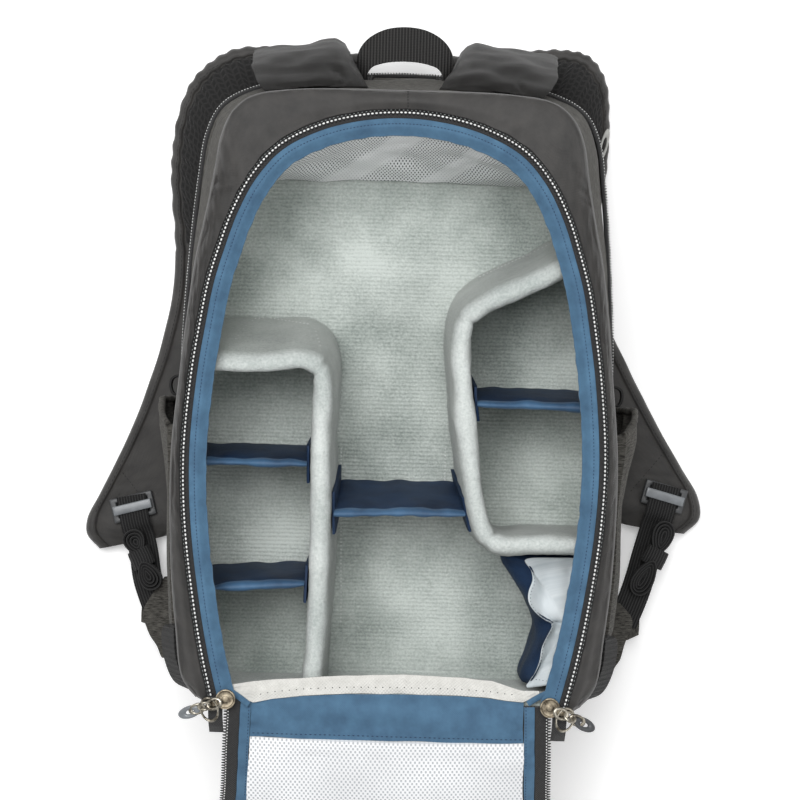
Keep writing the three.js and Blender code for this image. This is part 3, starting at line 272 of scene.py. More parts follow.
nylon = clothMaterial(
    "nylon", (35, 34, 33), (55, 53, 51), 0.5, 0.0005, 0.00012, Sheen_Weight=0.06, Sheen_Roughness=0.4
)
# darker copy of the nylon for the upward-facing yokes: painted shade
yokeNylonShaded = clothMaterial("yokeNylonShaded", (18, 17, 16), (32, 31, 30), 0.52, 0.0005, 0.00012, Specular_IOR_Level=0.18)
matt = {"Sheen_Weight": 0.03, "Specular_IOR_Level": 0.2}
heather = clothMaterial("heather", (25, 24, 23), (98, 96, 91), 0.9, 0.0007, 0.0002, 420, (2.4, 0.5, 1), **matt)
nylonDark = clothMaterial("nylonDark", (22, 22, 22), (36, 35, 34), 0.6, 0.0005, 0.00012, Sheen_Weight=0.2)
navySatin = clothMaterial("navySatin", (18, 34, 58), (32, 56, 88), 0.58, 0.00045, 0.0001, 40, Specular_IOR_Level=0.25)
# lighter copy of the navy satin for the bay dividers' top band: painted highlight
navyRidgeLit = clothMaterial("navyRidgeLit", (38, 68, 98), (60, 98, 132), 0.5, 0.00045, 0.0001, 40, Sheen_Weight=0.1)
steelBlue = clothMaterial("steelBlue", (48, 83, 111), (70, 109, 138), 0.7, 0.0006, 0.00016, Sheen_Weight=0.2)
silverSatin = clothMaterial(
    "silverSatin", (196, 206, 211), (230, 236, 239), 0.24, 0.0004, 0.00008, 30, Sheen_Weight=0.3
)
creamBinding = clothMaterial(
    "creamBinding", (198, 197, 192), (216, 215, 210), 0.9, 0.0011, 0.0004, 160, Sheen_Weight=0.2
)
blackTape = clothMaterial("blackTape", (20, 20, 21), (38, 38, 39), 0.7, 0.0008, 0.0003, 500, Sheen_Weight=0.1)
liningFelt = feltMaterial("liningFelt", (136, 145, 140), (204, 211, 206), 0.0007, 620, 0.0026)
# painted shade: darker felt tones for the divider sides below the ridge, and the heights over which they blend in
paintedSideShade = ((112, 121, 115), (164, 171, 165), 0.1445, 0.1515)
dividerFelt = feltMaterial("dividerFelt", (164, 172, 169), (214, 219, 216), 0.0011, 560, 0, paintedSideShade)
flapMesh = meshMaterial("flapMesh", (244, 245, 247), (182, 186, 190), (0.0021, 0.0014), 0.1, 0.5)
doubled = ((-0.417, 0.1645, 0.0042), (-0.417, 0.1390, 0.0036))
panelMesh = meshMaterial("panelMesh", (250, 251, 252), (58, 64, 68), (0.00112, 0.0036), 0.26, 0.3, doubled)
webbing = ribbedMaterial("webbing", 1, 0.0019, 0.0003)
handleWeb = ribbedMaterial("handleWeb", 0, 0.0021, 0.0003, (22, 22, 22), (62, 61, 60), "Object")
loopWeb = ribbedMaterial("loopWeb", 0, 0.0034, 0.0009, (9, 9, 9), (36, 36, 36))
airMesh = airMeshMaterial()
bucklePlastic = plasticMaterial("bucklePlastic", (66, 68, 70), 0.42)
paleBuckle = plasticMaterial("paleBuckle", (124, 128, 132), 0.3)
paleCord = plasticMaterial("paleCord", (176, 176, 172), 0.5)
coilPlastic = plasticMaterial("coilPlastic", (20, 20, 21), 0.5)
antiqueNickel = metalMaterial("antiqueNickel", (88, 82, 72), (196, 190, 176), 0.3)
# darker copy of the antique nickel for the slider discs: painted shade
shadedNickel = metalMaterial("shadedNickel", (70, 62, 52), (150, 140, 122), 0.42)
darkThread = plasticMaterial("darkThread", (26, 26, 27), 0.8)
blueThread = plasticMaterial("blueThread", (26, 46, 78), 0.8)
# grey dots along the zip coil's outer edge: painted highlight
greyCoilGlint = plasticMaterial("greyCoilGlint", (150, 156, 154), 0.85)
# white thread for the stitches, also used for the dots on the zip coils, which are partly thread and partly a painted
# highlight of the glossy coil
whiteThreadAndGlint = plasticMaterial("whiteThreadAndGlint", (240, 241, 240), 0.7)
floorMaterial, floorTree, floorShader = newMaterial("paleFloor", (252, 252, 252), 0.9)
floorShader.inputs["Specular IOR Level"].default_value = 0.0
floorShader.inputs["Emission Color"].default_value = (1, 1, 1, 1)
floorShader.inputs["Emission Strength"].default_value = 0.22
floorTone = grain(floorTree, coordinates(floorTree, "Object"), 3)
paint(floorTree, floorShader, ramp(floorTree, floorTone, (251, 251, 251), (254, 254, 254)))
floor.data.materials.append(floorMaterial)
print("materials are made")


# Curves and lofts, in millimetres


def between(grid, steps, closed=False):
    grid = np.array(grid, float)
    if closed:
        held = np.concatenate([grid[-1:], grid, grid[:2]])
    else:
        held = np.concatenate([2 * grid[:1] - grid[1:2], grid, 2 * grid[-1:] - grid[-2:-1]])
    t = (np.arange(steps) / steps).reshape(-1, *[1] * (grid.ndim - 1))
    out = []
    for a, b, c, d in zip(held, held[1:], held[2:], held[3:]):
        gaps = [
            np.maximum(np.linalg.norm(q - p, axis=-1, keepdims=True), 1e-6) ** 0.5
            for p, q in ((a, b), (b, c), (c, d))
        ]
        d0, d1, d2 = gaps
        leave = ((b - a) / d0 - (c - a) / (d0 + d1) + (c - b) / d1) * d1
        arrive = ((c - b) / d1 - (d - b) / (d1 + d2) + (d - c) / d2) * d1
        out.append(
            (
                (2 * t**3 - 3 * t**2 + 1) * b
                + (t**3 - 2 * t**2 + t) * leave
                + (3 * t**2 - 2 * t**3) * c
                + (t**3 - t**2) * arrive
            ),
        )
    return np.concatenate(out if closed else out + [grid[-1:]])


def evenly(path, count, closed=False):
    path = np.concatenate([path, path[:1]]) if closed else np.array(path, float)
    steps = np.r_[0, np.cumsum(np.linalg.norm(np.diff(path, axis=0), axis=1))]
    wanted = np.linspace(0, steps[-1], count + 1)
    even = np.column_stack([np.interp(wanted, steps, path[:, k]) for k in range(3)])
    return even[:-1] if closed else even


def outlineControls(rows, width, height, bottom):
    right = [(half * width / 2, bottom + up * height, 0) for up, half in rows]
    return right + [(-x, y, z) for x, y, z in reversed(right) if x > 0]


def closedOutline(rows, width, height, bottom, count):
    return evenly(between(outlineControls(rows, width, height, bottom), 16, True), count, True)


def archOutline(rows, width, height, bottom, count):
    lower = [row for i, row in enumerate(rows) if i > 0 or row[1] > 0]
    return evenly(between(outlineControls(lower, width, height, bottom), 16), count)


def normed(vectors):
    return vectors / np.linalg.norm(vectors, axis=-1, keepdims=True)


def inset(points, distance, closed=True):
    before, after = np.roll(points, 1, axis=0), np.roll(points, -1, axis=0)
    if not closed:
        before[0], after[-1] = points[0], points[-1]
    along = normed(after - before)
    return points + distance * np.column_stack([-along[:, 1], along[:, 0], np.zeros(len(points))])


def level(points, z):
    return np.column_stack([points[:, 0], points[:, 1], np.full(len(points), z)])


def reach(outline, place, along=1, across=0):
    a, b = outline, np.roll(outline, -1, axis=0)
    low, high = a[:, along] - place, b[:, along] - place
    hit = (low * high <= 0) & (low != high)
    share = low[hit] / (low[hit] - high[hit])
    return float((a[hit, across] + share * (b[hit, across] - a[hit, across])).max())


def topReach(outline, x):
    return reach(outline, x, 0, 1)


def lookUp(rows, place, column=1):
    return float(np.interp(place, [row[0] for row in rows], [row[column] for row in rows]))


def sideways(path):
    path = np.array(path, float)
    along = normed(np.gradient(path[:, :2], axis=0))
    return np.column_stack([-along[:, 1], along[:, 0], np.zeros(len(path))])


gridPlaces = {}


def loft(name, loops, material, ring=True, capped=True, sharp=50, uv=None):
    grid = np.array(loops, float) * mm
    rows, cols = grid.shape[:2]
    wrapped = np.concatenate([grid, grid[:, :1]], axis=1) if ring else grid
    if uv is None:
        u = np.r_[0, np.cumsum(np.linalg.norm(np.diff(grid, axis=0), axis=2).mean(axis=1))]
        v = np.cumsum(np.linalg.norm(np.diff(wrapped, axis=1), axis=2), axis=1)
        uv = np.stack(
            [np.tile(u[:, None], (1, wrapped.shape[1])), np.concatenate([np.zeros((rows, 1)), v], axis=1)], axis=2
        )
    i, j = np.meshgrid(np.arange(rows - 1), np.arange(wrapped.shape[1] - 1), indexing="ij")
    i, j = i.ravel(), j.ravel()
    k = (j + 1) % cols
    faces = np.column_stack([i * cols + j, i * cols + k, (i + 1) * cols + k, (i + 1) * cols + j]).tolist()
    corners = np.stack([uv[i, j], uv[i, j + 1], uv[i + 1, j + 1], uv[i + 1, j]], axis=1).reshape(-1, 2)
    if ring and capped:
        faces.append(list(range(cols - 1, -1, -1)))
        faces.append(list(range((rows - 1) * cols, rows * cols)))
        corners = np.concatenate([corners, uv[0, cols - 1 :: -1][:cols], uv[-1, :cols]])
    mesh = bpy.data.meshes.new(name)
    points = grid.reshape(-1, 3)
    mesh.from_pydata(points.tolist(), [], faces)
    mesh.uv_layers.new(name="UVMap").data.foreach_set("uv", corners.astype(np.float32).ravel())
    a, b, c, d = (points[[face[n] for face in faces if len(face) == 4]] for n in range(4))
    if ring and ((np.cross(b, c) * a).sum() + (np.cross(c, d) * a).sum()) < 0:
        mesh.flip_normals()
    mesh.shade_smooth()
    mesh.set_sharp_from_angle(angle=math.radians(sharp))
    mesh.materials.append(material)
    made = bpy.data.objects.new(name, mesh)
    bpy.context.collection.objects.link(made)
    gridPlaces[name] = uv[:, :cols].reshape(-1, 2)
    return made


def slab(low, lift):
    low = np.array(low, float)
    return np.concatenate([low, (low + lift)[::-1]])


def rising(heights):
    return np.outer(heights, (0, 0, 1))


def fanned(loop, shares=(0.86, 0.7, 0.5, 0.3, 0.1)):
    middle = loop.mean(axis=0)
    return [middle + (loop - middle) * share for share in shares]


def ruffle(piece, amount, size, seed=0.0, where=None):
    places = gridPlaces[piece.name] / (np.array(size) * mm)
    normals = [vertex.normal.copy() for vertex in piece.data.vertices]
    for vertex, normal, (u, v) in zip(piece.data.vertices, normals, places):
        share = 1.0 if where is None else where(vertex.co / mm)
        if share:
            vertex.co += normal * (amount * mm * share * noise.noise(Vector((u, v, seed))))
    piece.data.update()


def crumple(piece, amount, size, seed=0.0, where=None, stretch=(1, 1, 1), toward=None):
    normals = [Vector(toward) if toward else vertex.normal.copy() for vertex in piece.data.vertices]
    for vertex, normal in zip(piece.data.vertices, normals):
        share = 1.0 if where is None else where(vertex.co / mm)
        place = Vector([c / (size * mm) * s for c, s in zip(vertex.co, stretch)]) + Vector((seed, -seed, seed * 0.5))
        vertex.co += normal * (amount * mm * share * noise.noise(place))
    piece.data.update()


def crease(piece, lines, where=None, toward=None):
    vertices = piece.data.vertices
    spots, normals = np.empty(len(vertices) * 3), np.empty(len(vertices) * 3)
    vertices.foreach_get("co", spots)
    vertices.foreach_get("normal", normals)
    spots, normals = spots.reshape(-1, 3) / mm, normals.reshape(-1, 3)
    if toward:
        normals = np.array([toward] * len(spots))
    push = np.zeros(len(spots))
    for start, end, width, depth in lines:  # a negative depth raises a fold
        start, end = np.array(start, float), np.array(end, float)
        span, places = end - start, spots[:, : len(start)] - start
        share = np.clip(places @ span / (span @ span), 0, 1)
        away = np.linalg.norm(places - share[:, None] * span, axis=1) / width
        push -= depth * np.exp(-(away**2)) * (0.4 + 0.6 * np.sin(math.pi * share))
    if where is not None:
        push *= [where(spot) for spot in spots]
    vertices.foreach_set("co", ((spots + normals * push[:, None]) * mm).ravel())
    piece.data.update()


def settle(piece, slotName, *replaced, fill=None):
    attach(piece, "root")
    if replaced:
        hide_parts(*replaced)
    return piece


# What repeats: one unit modelled once, then copied along a line


def pick(piece, test):
    bpy.ops.object.mode_set(mode="EDIT")
    bpy.ops.mesh.select_mode(type="FACE")
    bpy.ops.mesh.select_all(action="DESELECT")
    bpy.ops.object.mode_set(mode="OBJECT")
    for face in piece.data.polygons:
        face.select = bool(test(face.center, face.normal))
    bpy.ops.object.mode_set(mode="EDIT")


def editAll():
    bpy.ops.object.mode_set(mode="EDIT")
    bpy.ops.mesh.select_all(action="SELECT")


def unitShape(size, segments=6, rings=4):
    shape = startFrom(bpy.ops.mesh.primitive_uv_sphere_add, segments=segments, ring_count=rings, radius=0.5)
    editAll()
    bpy.ops.transform.rotate(value=math.pi / 2, orient_axis="Y", center_override=(0, 0, 0))
    bpy.ops.transform.resize(value=size)
    bpy.ops.object.mode_set(mode="OBJECT")
    points = np.array([vertex.co[:] for vertex in shape.data.vertices])
    faces = [list(face.vertices) for face in shape.data.polygons]
    bpy.data.objects.remove(shape)
    return points, faces


def copies(name, unit, places, ways, ups, material):
    points, faces = unit
    sides = np.cross(ups, ways)
    spots = (
        places[:, None]
        + points[None, :, 0:1] * ways[:, None]
        + points[None, :, 1:2] * sides[:, None]
        + points[None, :, 2:3] * ups[:, None]
    )
    mesh = bpy.data.meshes.new(name)
    every = [[n + step * len(points) for n in face] for step in range(len(places)) for face in faces]
    mesh.from_pydata((spots.reshape(-1, 3) * mm).tolist(), [], every)
    mesh.shade_smooth()
    mesh.materials.append(material)
    made = bpy.data.objects.new(name, mesh)
    bpy.context.collection.objects.link(made)
    return made


castFrom = 400
stitchLift = 0.06


def paced(path, pitch):
    path = np.array(path, float)
    length = np.linalg.norm(np.diff(path, axis=0), axis=1).sum()
    return evenly(path, max(2, round(length / pitch)))


def framed(places, ups):
    ways = normed(np.gradient(places, axis=0))
    return places, ways, normed(ups - (ups * ways).sum(axis=1, keepdims=True) * ways)


def steps(path, pitch, up=(0, 0, 1)):
    places, up = paced(path, pitch), np.array(up, float)
    return framed(places, np.tile(up, (len(places), 1)) if up.ndim == 1 else evenly(up, len(places) - 1))


def stitches(name, run, pitch, material, slotName, size):
    return settle(copies(name, unitShape((pitch * size[0], *size[1:])), *run, material), slotName)


def stitchRow(name, path, pitch, material, slotName, up=(0, 0, 1), size=(0.62, 0.55, 0.34)):
    return stitches(name, steps(path, pitch, up), pitch, material, slotName, size)


def stitchOn(piece, name, path, pitch, material, slotName, size=(0.62, 0.55, 0.34)):
    mesh = piece.data
    tree = BVHTree.FromPolygons([vertex.co for vertex in mesh.vertices], [face.vertices for face in mesh.polygons])
    down = Vector((0, 0, -1))
    spots = paced([(spot[0], spot[1], 0) for spot in path], pitch)
    hits = [tree.ray_cast(Vector((x, y, castFrom)) * mm, down)[:2] for x, y, z in spots]
    places, ups = (np.array([hit[n][:] for hit in hits if hit[0] is not None]) for n in (0, 1))
    places, ways, ups = framed(places / mm, ups * np.sign(ups[:, 2:]))
    return stitches(name, (places + ups * stitchLift, ways, ups), pitch, material, slotName, size)


# Bag body

bag = {
    "frontHeight": 389,
    "frontWidth": 281,
    "backHeight": 414,
    "backWidth": 287,
    "bottomSeam": -194.5,
    "padDepth": 16,
    "laptopDepth": 34,
    "bagDepth": 170,
    "wall": 9,
    "floor": 10,
    "frame": 12,
    "gap": 0.4,
    "floorFillet": 2,
    "points": 288,
}
gap = bag["gap"]
frontRows = [
    (0, 0), (0, 0.72), (0.012, 0.86), (0.045, 0.925), (0.12, 0.957), (0.23, 0.988), (0.4, 1), (0.54, 0.968),
    (0.63, 0.943), (0.72, 0.912), (0.8, 0.868), (0.87, 0.834), (0.92, 0.812), (0.96, 0.764), (0.985, 0.68),
    (0.997, 0.5), (1, 0),
]
backRows = [
    (0, 0), (0, 0.72), (0.012, 0.86), (0.06, 0.945), (0.2, 0.985), (0.4, 1), (0.57, 1), (0.72, 0.975), (0.83, 0.945),
    (0.9, 0.915), (0.945, 0.85), (0.972, 0.71), (0.988, 0.45), (1, 0),
]
# depth, how far to the front, inset
compartmentRows = [(0, 0, 4), (0.08, 0.06, 1), (0.45, 0.45, -0.5), (0.8, 0.85, 0), (1, 1, 1)]
laptopRows = [(0, 15), (0.06, 8), (0.25, 2), (0.5, 0), (0.88, 0), (1, 3)]
zFloor = bag["padDepth"] + bag["laptopDepth"]
zInner = zFloor + bag["floor"]
zRim = bag["bagDepth"] - bag["frame"]
zZip = bag["bagDepth"] - 4
zFoot = zInner + bag["floorFillet"] + gap
front = closedOutline(frontRows, bag["frontWidth"], bag["frontHeight"], bag["bottomSeam"], bag["points"])
back = closedOutline(backRows, bag["backWidth"], bag["backHeight"], bag["bottomSeam"], bag["points"])


def bodyOutline(z):
    if z <= zFloor:
        return inset(back, lookUp(laptopRows, (z - bag["padDepth"]) / bag["laptopDepth"]))
    share = (z - zFloor) / (zRim - zFloor)
    drawn = back + (front - back) * lookUp(compartmentRows, share)
    return inset(drawn, lookUp(compartmentRows, share, 2))


def cavityOutline(z):
    return inset(bodyOutline(z), bag["wall"] + max(0, zInner + bag["floorFillet"] - z))


def laptopCompartment():
    heights = [
        (0, 15), (0.02, 11.5), (0.06, 8), (0.13, 4.6), (0.25, 2), (0.4, 0.6), (0.5, 0), (0.62, -0.3), (0.74, 0),
        (0.88, 0.4), (0.95, 1.4), (1, 3),
    ]
    loops = [level(inset(back, drawn), bag["padDepth"] + share * bag["laptopDepth"]) for share, drawn in heights]
    under, over = fanned(loops[0]), fanned(loops[-1])
    made = loft("laptopCompartmentBody", under[::-1] + loops + over, heather)
    crumple(made, 1.6, 42, 3.1, lambda p: min(1, abs(p.x) / 60) if 20 < p.z < 48 else 0.25)
    return settle(made, "heather", "laptop_compartment", fill=0.7)


def cameraCompartment():
    outer = [
        level(bodyOutline(z), z)
        for z in [zFloor + 0.41, zFloor + 4, zFloor + 10, *np.linspace(zFloor + 20, zRim - 8, 12), zRim - 3, zRim]
    ]
    inner = [
        level(cavityOutline(z), z)
        for z in [zRim, *np.linspace(zRim - 5, zInner + 12, 11), zInner + 6, zInner + 2, zInner + 0.7, zInner]
    ]
    under, bottom = fanned(outer[0]), fanned(inner[-1])
    made = loft("cameraCompartmentBody", under[::-1] + outer + inner + bottom, heather)
    made.data.materials.append(liningFelt)
    edge = len(under) + len(outer)
    count = bag["points"]
    for index, face in enumerate(made.data.polygons):
        face.material_index = 1 if index // count >= edge - 1 else 0
    made.data.polygons[-2].material_index = 0
    made.data.polygons[-1].material_index = 1
    crumple(made, 1.5, 30, 7.7, lambda p: 1 if abs(p.x) > 100 or abs(p.y) > 150 else 0.35)
    return settle(made, "heather", "camera_compartment", fill=0.6)


def piping(name, z, drawn, radius, material):
    path = level(inset(bodyOutline(z), drawn), z)
    across = inset(path, -1) - path
    ring = [
        path + radius * (math.cos(a) * across + np.array([0, 0, math.sin(a)]))
        for a in np.linspace(0, 2 * math.pi, 9)[:-1]
    ]
    loops = np.swapaxes(np.array(ring), 0, 1)
    return settle(loft(name, np.concatenate([loops, loops[:1]]), material, capped=False), "binding")


laptopCompartment()
compartment = cameraCompartment()
piping("rimPiping", zRim - 2.5, -0.2, 1.5, nylonDark)
piping("backPiping", zFloor + 1.5, 2.2, 1.6, nylonDark)
print("bag body is made")


# Opening: padded frame, zip and facing

opening = {
    "height": 372,
    "width": 263,
    "bottom": -192.5,
    "zipWidth": 9,
    "zipThickness": 2.2,
    "facingWidth": 8,
    "facingThickness": 2,
    "facingDip": 4,
    "lip": 1.3,
    "lap": 1.9,
    "stations": 392,
}
framePuckers = [
    ((-119, 133.5), (-103, 136.5), 1.5, 1.1), ((-119.5, 125), (-106, 127.5), 1.5, 0.9),
    ((-119, 129), (-105, 132), 1.6, -0.7), ((110, 134.5), (120.5, 130.5), 1.4, 0.9),
    ((112, 128), (121, 125), 1.4, 0.7), ((-121, 108), (-111, 109), 1.3, 0.6), ((-131, 52), (-127, 52.5), 1.6, 0.6),
    ((-133, 10), (-128, 10), 1.6, 0.6), ((131, 40), (126, 39), 1.6, 0.6), ((133, -22), (129, -22), 1.6, 0.6),
    ((-118, -128), (-104, -118), 1.9, 0.9), ((112, -140), (100, -130), 1.9, 0.8), ((92, 165), (104, 158), 2.2, -0.7),
    ((-99, 160), (-86, 150), 3.0, 0.5), ((2.7, 194), (2.7, 179), 0.9, 0.6), ((-126, 96), (-117, 112), 2.4, 0.7),
    ((-124, 80), (-119, 98), 2.0, -0.5), ((118, 118), (128, 96), 2.4, 0.6), ((104, 150), (114, 140), 2.0, 0.6),
    ((-70, 190), (-30, 186), 4.0, 0.35), ((40, 187), (80, 182), 4.0, 0.35), ((126, -60), (130, -84), 1.8, 0.5),
    ((-130, -40), (-126, -66), 1.8, 0.5),
]
openingRows = [
    (0, 0.83), (0.08, 0.886), (0.17, 0.935), (0.3, 0.985), (0.42, 1), (0.55, 0.974), (0.64, 0.938), (0.71, 0.903),
    (0.77, 0.855), (0.83, 0.797), (0.89, 0.71), (0.94, 0.585), (0.975, 0.4), (0.994, 0.2), (1, 0),
]
zipHalf = opening["zipWidth"] / 2
zipLine = archOutline(openingRows, opening["width"], opening["height"], opening["bottom"], opening["stations"])
frameArch = archOutline(frontRows[2:], bag["frontWidth"], bag["frontHeight"], bag["bottomSeam"], opening["stations"])


def rail(arch, section):
    insets = [level(inset(arch, into, False), z) for into, z in section]
    return np.swapaxes(np.array(insets), 0, 1)


def frontFrame():
    low, high = zRim + gap, bag["bagDepth"]
    ledge = zZip - opening["zipThickness"] / 2 - gap
    lip = inset(zipLine, -zipHalf - gap, False)
    over = inset(zipLine, -zipHalf + opening["lip"], False)
    inner = inset(zipLine, zipHalf + 3, False)
    outer, shoulder = inset(frameArch, 1, False), inset(frameArch, 2.2, False)
    middle = (shoulder + over) / 2
    crown = np.array([
        level(outer, low), level(frameArch, low + 5.4), level(shoulder, high - 2), level(middle, high),
        level(over, high - 2.2),
    ])
    top = between(crown, 8)
    loops = np.concatenate([
        top,
        [level(over, high - 3.1), level(lip, high - 3.5), level(lip, ledge), level(inner, ledge), level(inner, low)],
    ])
    made = loft("frontFramePad", np.swapaxes(loops, 0, 1), nylon, sharp=60)
    ruffle(made, 1.1, (9, 40), 2.0, lambda p: 1.0 if p.z > high - 2.6 else 0.2)
    ruffle(made, 1.4, (60, 60), 8.0, lambda p: 1.0 if p.z > high - 2.6 else 0)
    deeper = [(a, b, width, depth * 1.6) for a, b, width, depth in framePuckers]
    crease(made, deeper, lambda spot: spot[2] > high - 2.9)
    return settle(made, "nylon", "front_frame", fill=0.7)


def zipTape():
    half, thick = zipHalf, opening["zipThickness"] / 2
    low, high = zZip - thick, zZip + thick - 1
    right = [(half, low), (half, high - 0.3), (half - 0.4, high)]
    section = [(-half, low), *right, (-half + 0.4, high), (-half, high - 0.3)]
    return settle(loft("zipTapeBand", rail(zipLine, section), blackTape), "zip_tape", "zip_track")


facingStart = zipHalf + gap
facingEnd = facingStart + opening["facingWidth"]
zFacing = zZip - opening["zipThickness"] / 2


def rimFacing():
    high, dip = zFacing + opening["facingThickness"], opening["facingDip"]
    edge, lifted = facingStart - opening["lap"], zZip + opening["zipThickness"] / 2 - 0.8
    section = [
        (edge, lifted), (facingStart - 0.2, lifted), (facingStart, zFacing), (facingStart + 2.6, zFacing),
        (facingEnd, zFacing - dip), (facingEnd + 0.6, zFacing - dip + 0.8),
    ]
    section += [
        (facingEnd + 0.5, high - dip), (facingEnd - 1.5, high - dip + 0.9), (facingStart + 4, high - 0.4),
        (facingStart + 2.2, high + 0.1), (facingStart + 1.4, high - 0.1),
    ]
    section += [(facingStart + 0.4, high + 0.3), (edge + 0.7, high + 0.35), (edge, lifted + 0.6)]
    made = loft("rimFacingStrip", rail(zipLine, section), steelBlue)
    ruffle(made, 0.9, (7, 14), 4.0, lambda p: 1 if p.z < lifted - 1 or p.z > high + 0.1 else 0.15)
    return settle(made, "facing_blue", "rim_facing")


framePad = frontFrame()
zipTape()
facingStrip = rimFacing()
print("opening is made")


# Flap, laid over the bottom edge

flap = {
    "length": 372,
    "width": 242,
    "seamThickness": 2.6,
    "seamWidth": 24,
    "thickness": 7,
    "bandWidth": 21.8,
    "tapeWidth": 7,
    "facingWidth": 6.5,
    "cloth": 1.2,
    "layerGap": 0.7,
    "bulge": 3.5,
    "stations": 352,
    "bandFolds": [
        ((-88, -199), (-80, -196.5), 1.3, 1.1), ((-88, -206), (-78, -209), 1.5, 1.2),
        ((-88, -202.5), (-80, -203), 1.3, -0.8), ((-87, -213), (-79, -213.5), 1.1, 0.6),
        ((88, -196), (80, -194), 1.3, 1.0), ((88, -204), (79, -207.5), 1.5, 1.1),
        ((88, -200), (81, -200.5), 1.3, -0.7), ((-60, -206), (20, -203.5), 5, 0.7), ((0, -212), (70, -210), 4, -0.4),
    ],
}
flapRows = [
    (0, 0.835), (0.08, 0.845), (0.18, 0.86), (0.3, 0.905), (0.43, 0.965), (0.56, 1), (0.68, 0.985), (0.78, 0.925),
    (0.86, 0.83), (0.92, 0.7), (0.965, 0.52), (0.99, 0.3), (1, 0),
]
flapFall = [
    (-0.011, 0), (0.006, 0), (0.035, 0.03), (0.1, 0.095), (0.2, 0.225), (0.34, 0.43), (0.5, 0.645), (0.66, 0.835),
    (0.76, 0.94), (0.83, 0.985), (0.88, 1), (0.98, 1), (1.08, 1),
]
fallPoints = [(0, bag["bottomSeam"] - run * flap["length"], zRim * (1 - drop) + gap) for run, drop in flapFall]
fallCurve = evenly(between(fallPoints, 40), 1200)
fallSteps = np.r_[0, np.cumsum(np.linalg.norm(np.diff(fallCurve, axis=0), axis=1))]
fallWay = normed(np.gradient(fallCurve, axis=0))


def onFlap(side, along, off):
    along = min(max(along, 0), fallSteps[-1])
    y, z, wayY, wayZ = (np.interp(along, fallSteps, table[:, n]) for table in (fallCurve, fallWay) for n in (1, 2))
    return (side, y + wayZ * off, z - wayY * off)


flapArch = archOutline(flapRows, flap["width"], flap["length"], 0, flap["stations"])


def flapDepth(along):
    share = min(max(along, 0) / flap["seamWidth"], 1)
    return flap["seamThickness"] + (flap["thickness"] - flap["seamThickness"]) * share


def flapLoft(name, outline, start, end, step, section, material, sharp=50):
    loops, places = [], []
    for along in np.linspace(start, end, math.ceil((end - start) / step) + 1):
        half = reach(outline, max(along, outline[0][1] + 0.1))
        row = section(half, flapDepth(along))
        loops.append([onFlap(side, along, off) for side, off in row])
        places.append([(along * mm, side * mm) for side, off in [*row, row[0]]])
    return loft(name, loops, material, sharp=sharp, uv=np.array(places))


def flapPanelSection(half, deep):
    sides = np.linspace(1, -1, 15)
    rim = [
        (-half + 2, 0), (0, -0.0), (half - 2, 0), (half - 0.3, deep * 0.2), (half, deep * 0.45),
        (half - 0.3, deep * 0.8),
    ]
    return (
        rim
        + [(side * (half - 1), deep) for side in sides]
        + [(-half + 0.3, deep * 0.8), (-half, deep * 0.45), (-half + 0.3, deep * 0.2)]
    )


def flapStrip(name, start, width, thickness, material):
    insets = [
        inset(flapArch, into, False)
        for into in (start, start + width * 0.33, start + width * 0.66, start + width)
    ]
    low, high = flap["layerGap"], flap["layerGap"] + thickness
    order = [(0, low), (3, low), (3, high), (2, high + 0.15), (1, high + 0.15), (0, high)]
    loops = [
        [onFlap(insets[n][i][0], max(insets[n][i][1], 0), flapDepth(insets[n][i][1]) + z) for n, z in order]
        for i in range(len(flapArch))
    ]
    return loft(name, loops, material)


bindingRows = [
    (-101, -184.2, -182.9), (-95, -186.5, -181.3), (-88, -190.6, -179.8), (-84.4, -192.0, -179.2),
    (-72.4, -189.6, -178.0), (-54, -187.4, -176.5), (-26, -185.5, -174.3), (7.5, -184.9, -172.7),
    (45.7, -184.9, -173.8), (65, -186.0, -175.2), (75, -187.2, -178.4), (84.8, -187.9, -181.0), (95, -184.0, -181.0),
]


def hingeHeight(y, steep):
    return zRim + 0.3 + steep * max(0, -185.2 - y)


def flapBandStrip(inside):
    sides = np.linspace(-1, 1, 57)
    thick = flap["cloth"] * (1 + 0.8 * (1 - abs(sides) ** 3))
    loops = []
    half = reach(inside, inside[0][1] + 0.1)
    for share in (0, 0.35, 0.7, 1):
        low = []
        for side in sides:
            first = max(lookUp(bindingRows, side * half) - 0.4, -189.2)
            y = first + share * (-189.7 - first)
            low.append((side * half, y, hingeHeight(y, 0.66)))
        loops.append(slab(low, rising(thick)))
    for along in np.linspace(0.6, flap["bandWidth"], 17):
        half = reach(inside, max(along, inside[0][1] + 0.1))
        off = flapDepth(along) + gap
        low = [onFlap(side * half, along, off) for side in sides]
        loops.append(low + [onFlap(side * half, along, off + t) for side, t in zip(sides[::-1], thick[::-1])])
    made = loft("flapBandStrip", loops, steelBlue)
    ruffle(made, 1.0, (22, 26), 6.0, lambda p: 0.25 if p.y > -191 else 1)
    crumple(made, 1.6, 24, 7.0, lambda p: 1 if p.y < -194 else 0, (0.5, 1.6, 1), toward=(0, 0, 1))
    crease(made, flap["bandFolds"], lambda spot: spot[1] < -191.5, (0, 0, 1))
    settle(made, "facing_blue", "flap_band")
    return made


def flapMeshSection(half, deep):
    low, high = deep + gap, deep + gap + flap["cloth"]
    crown = flap["bulge"] * min(1, half / 40)
    return (
        [(-half, low), (half, low)]
        + [(side * half, high + crown * (1 - side**2)) for side in np.linspace(1, -1, 61)]
    )


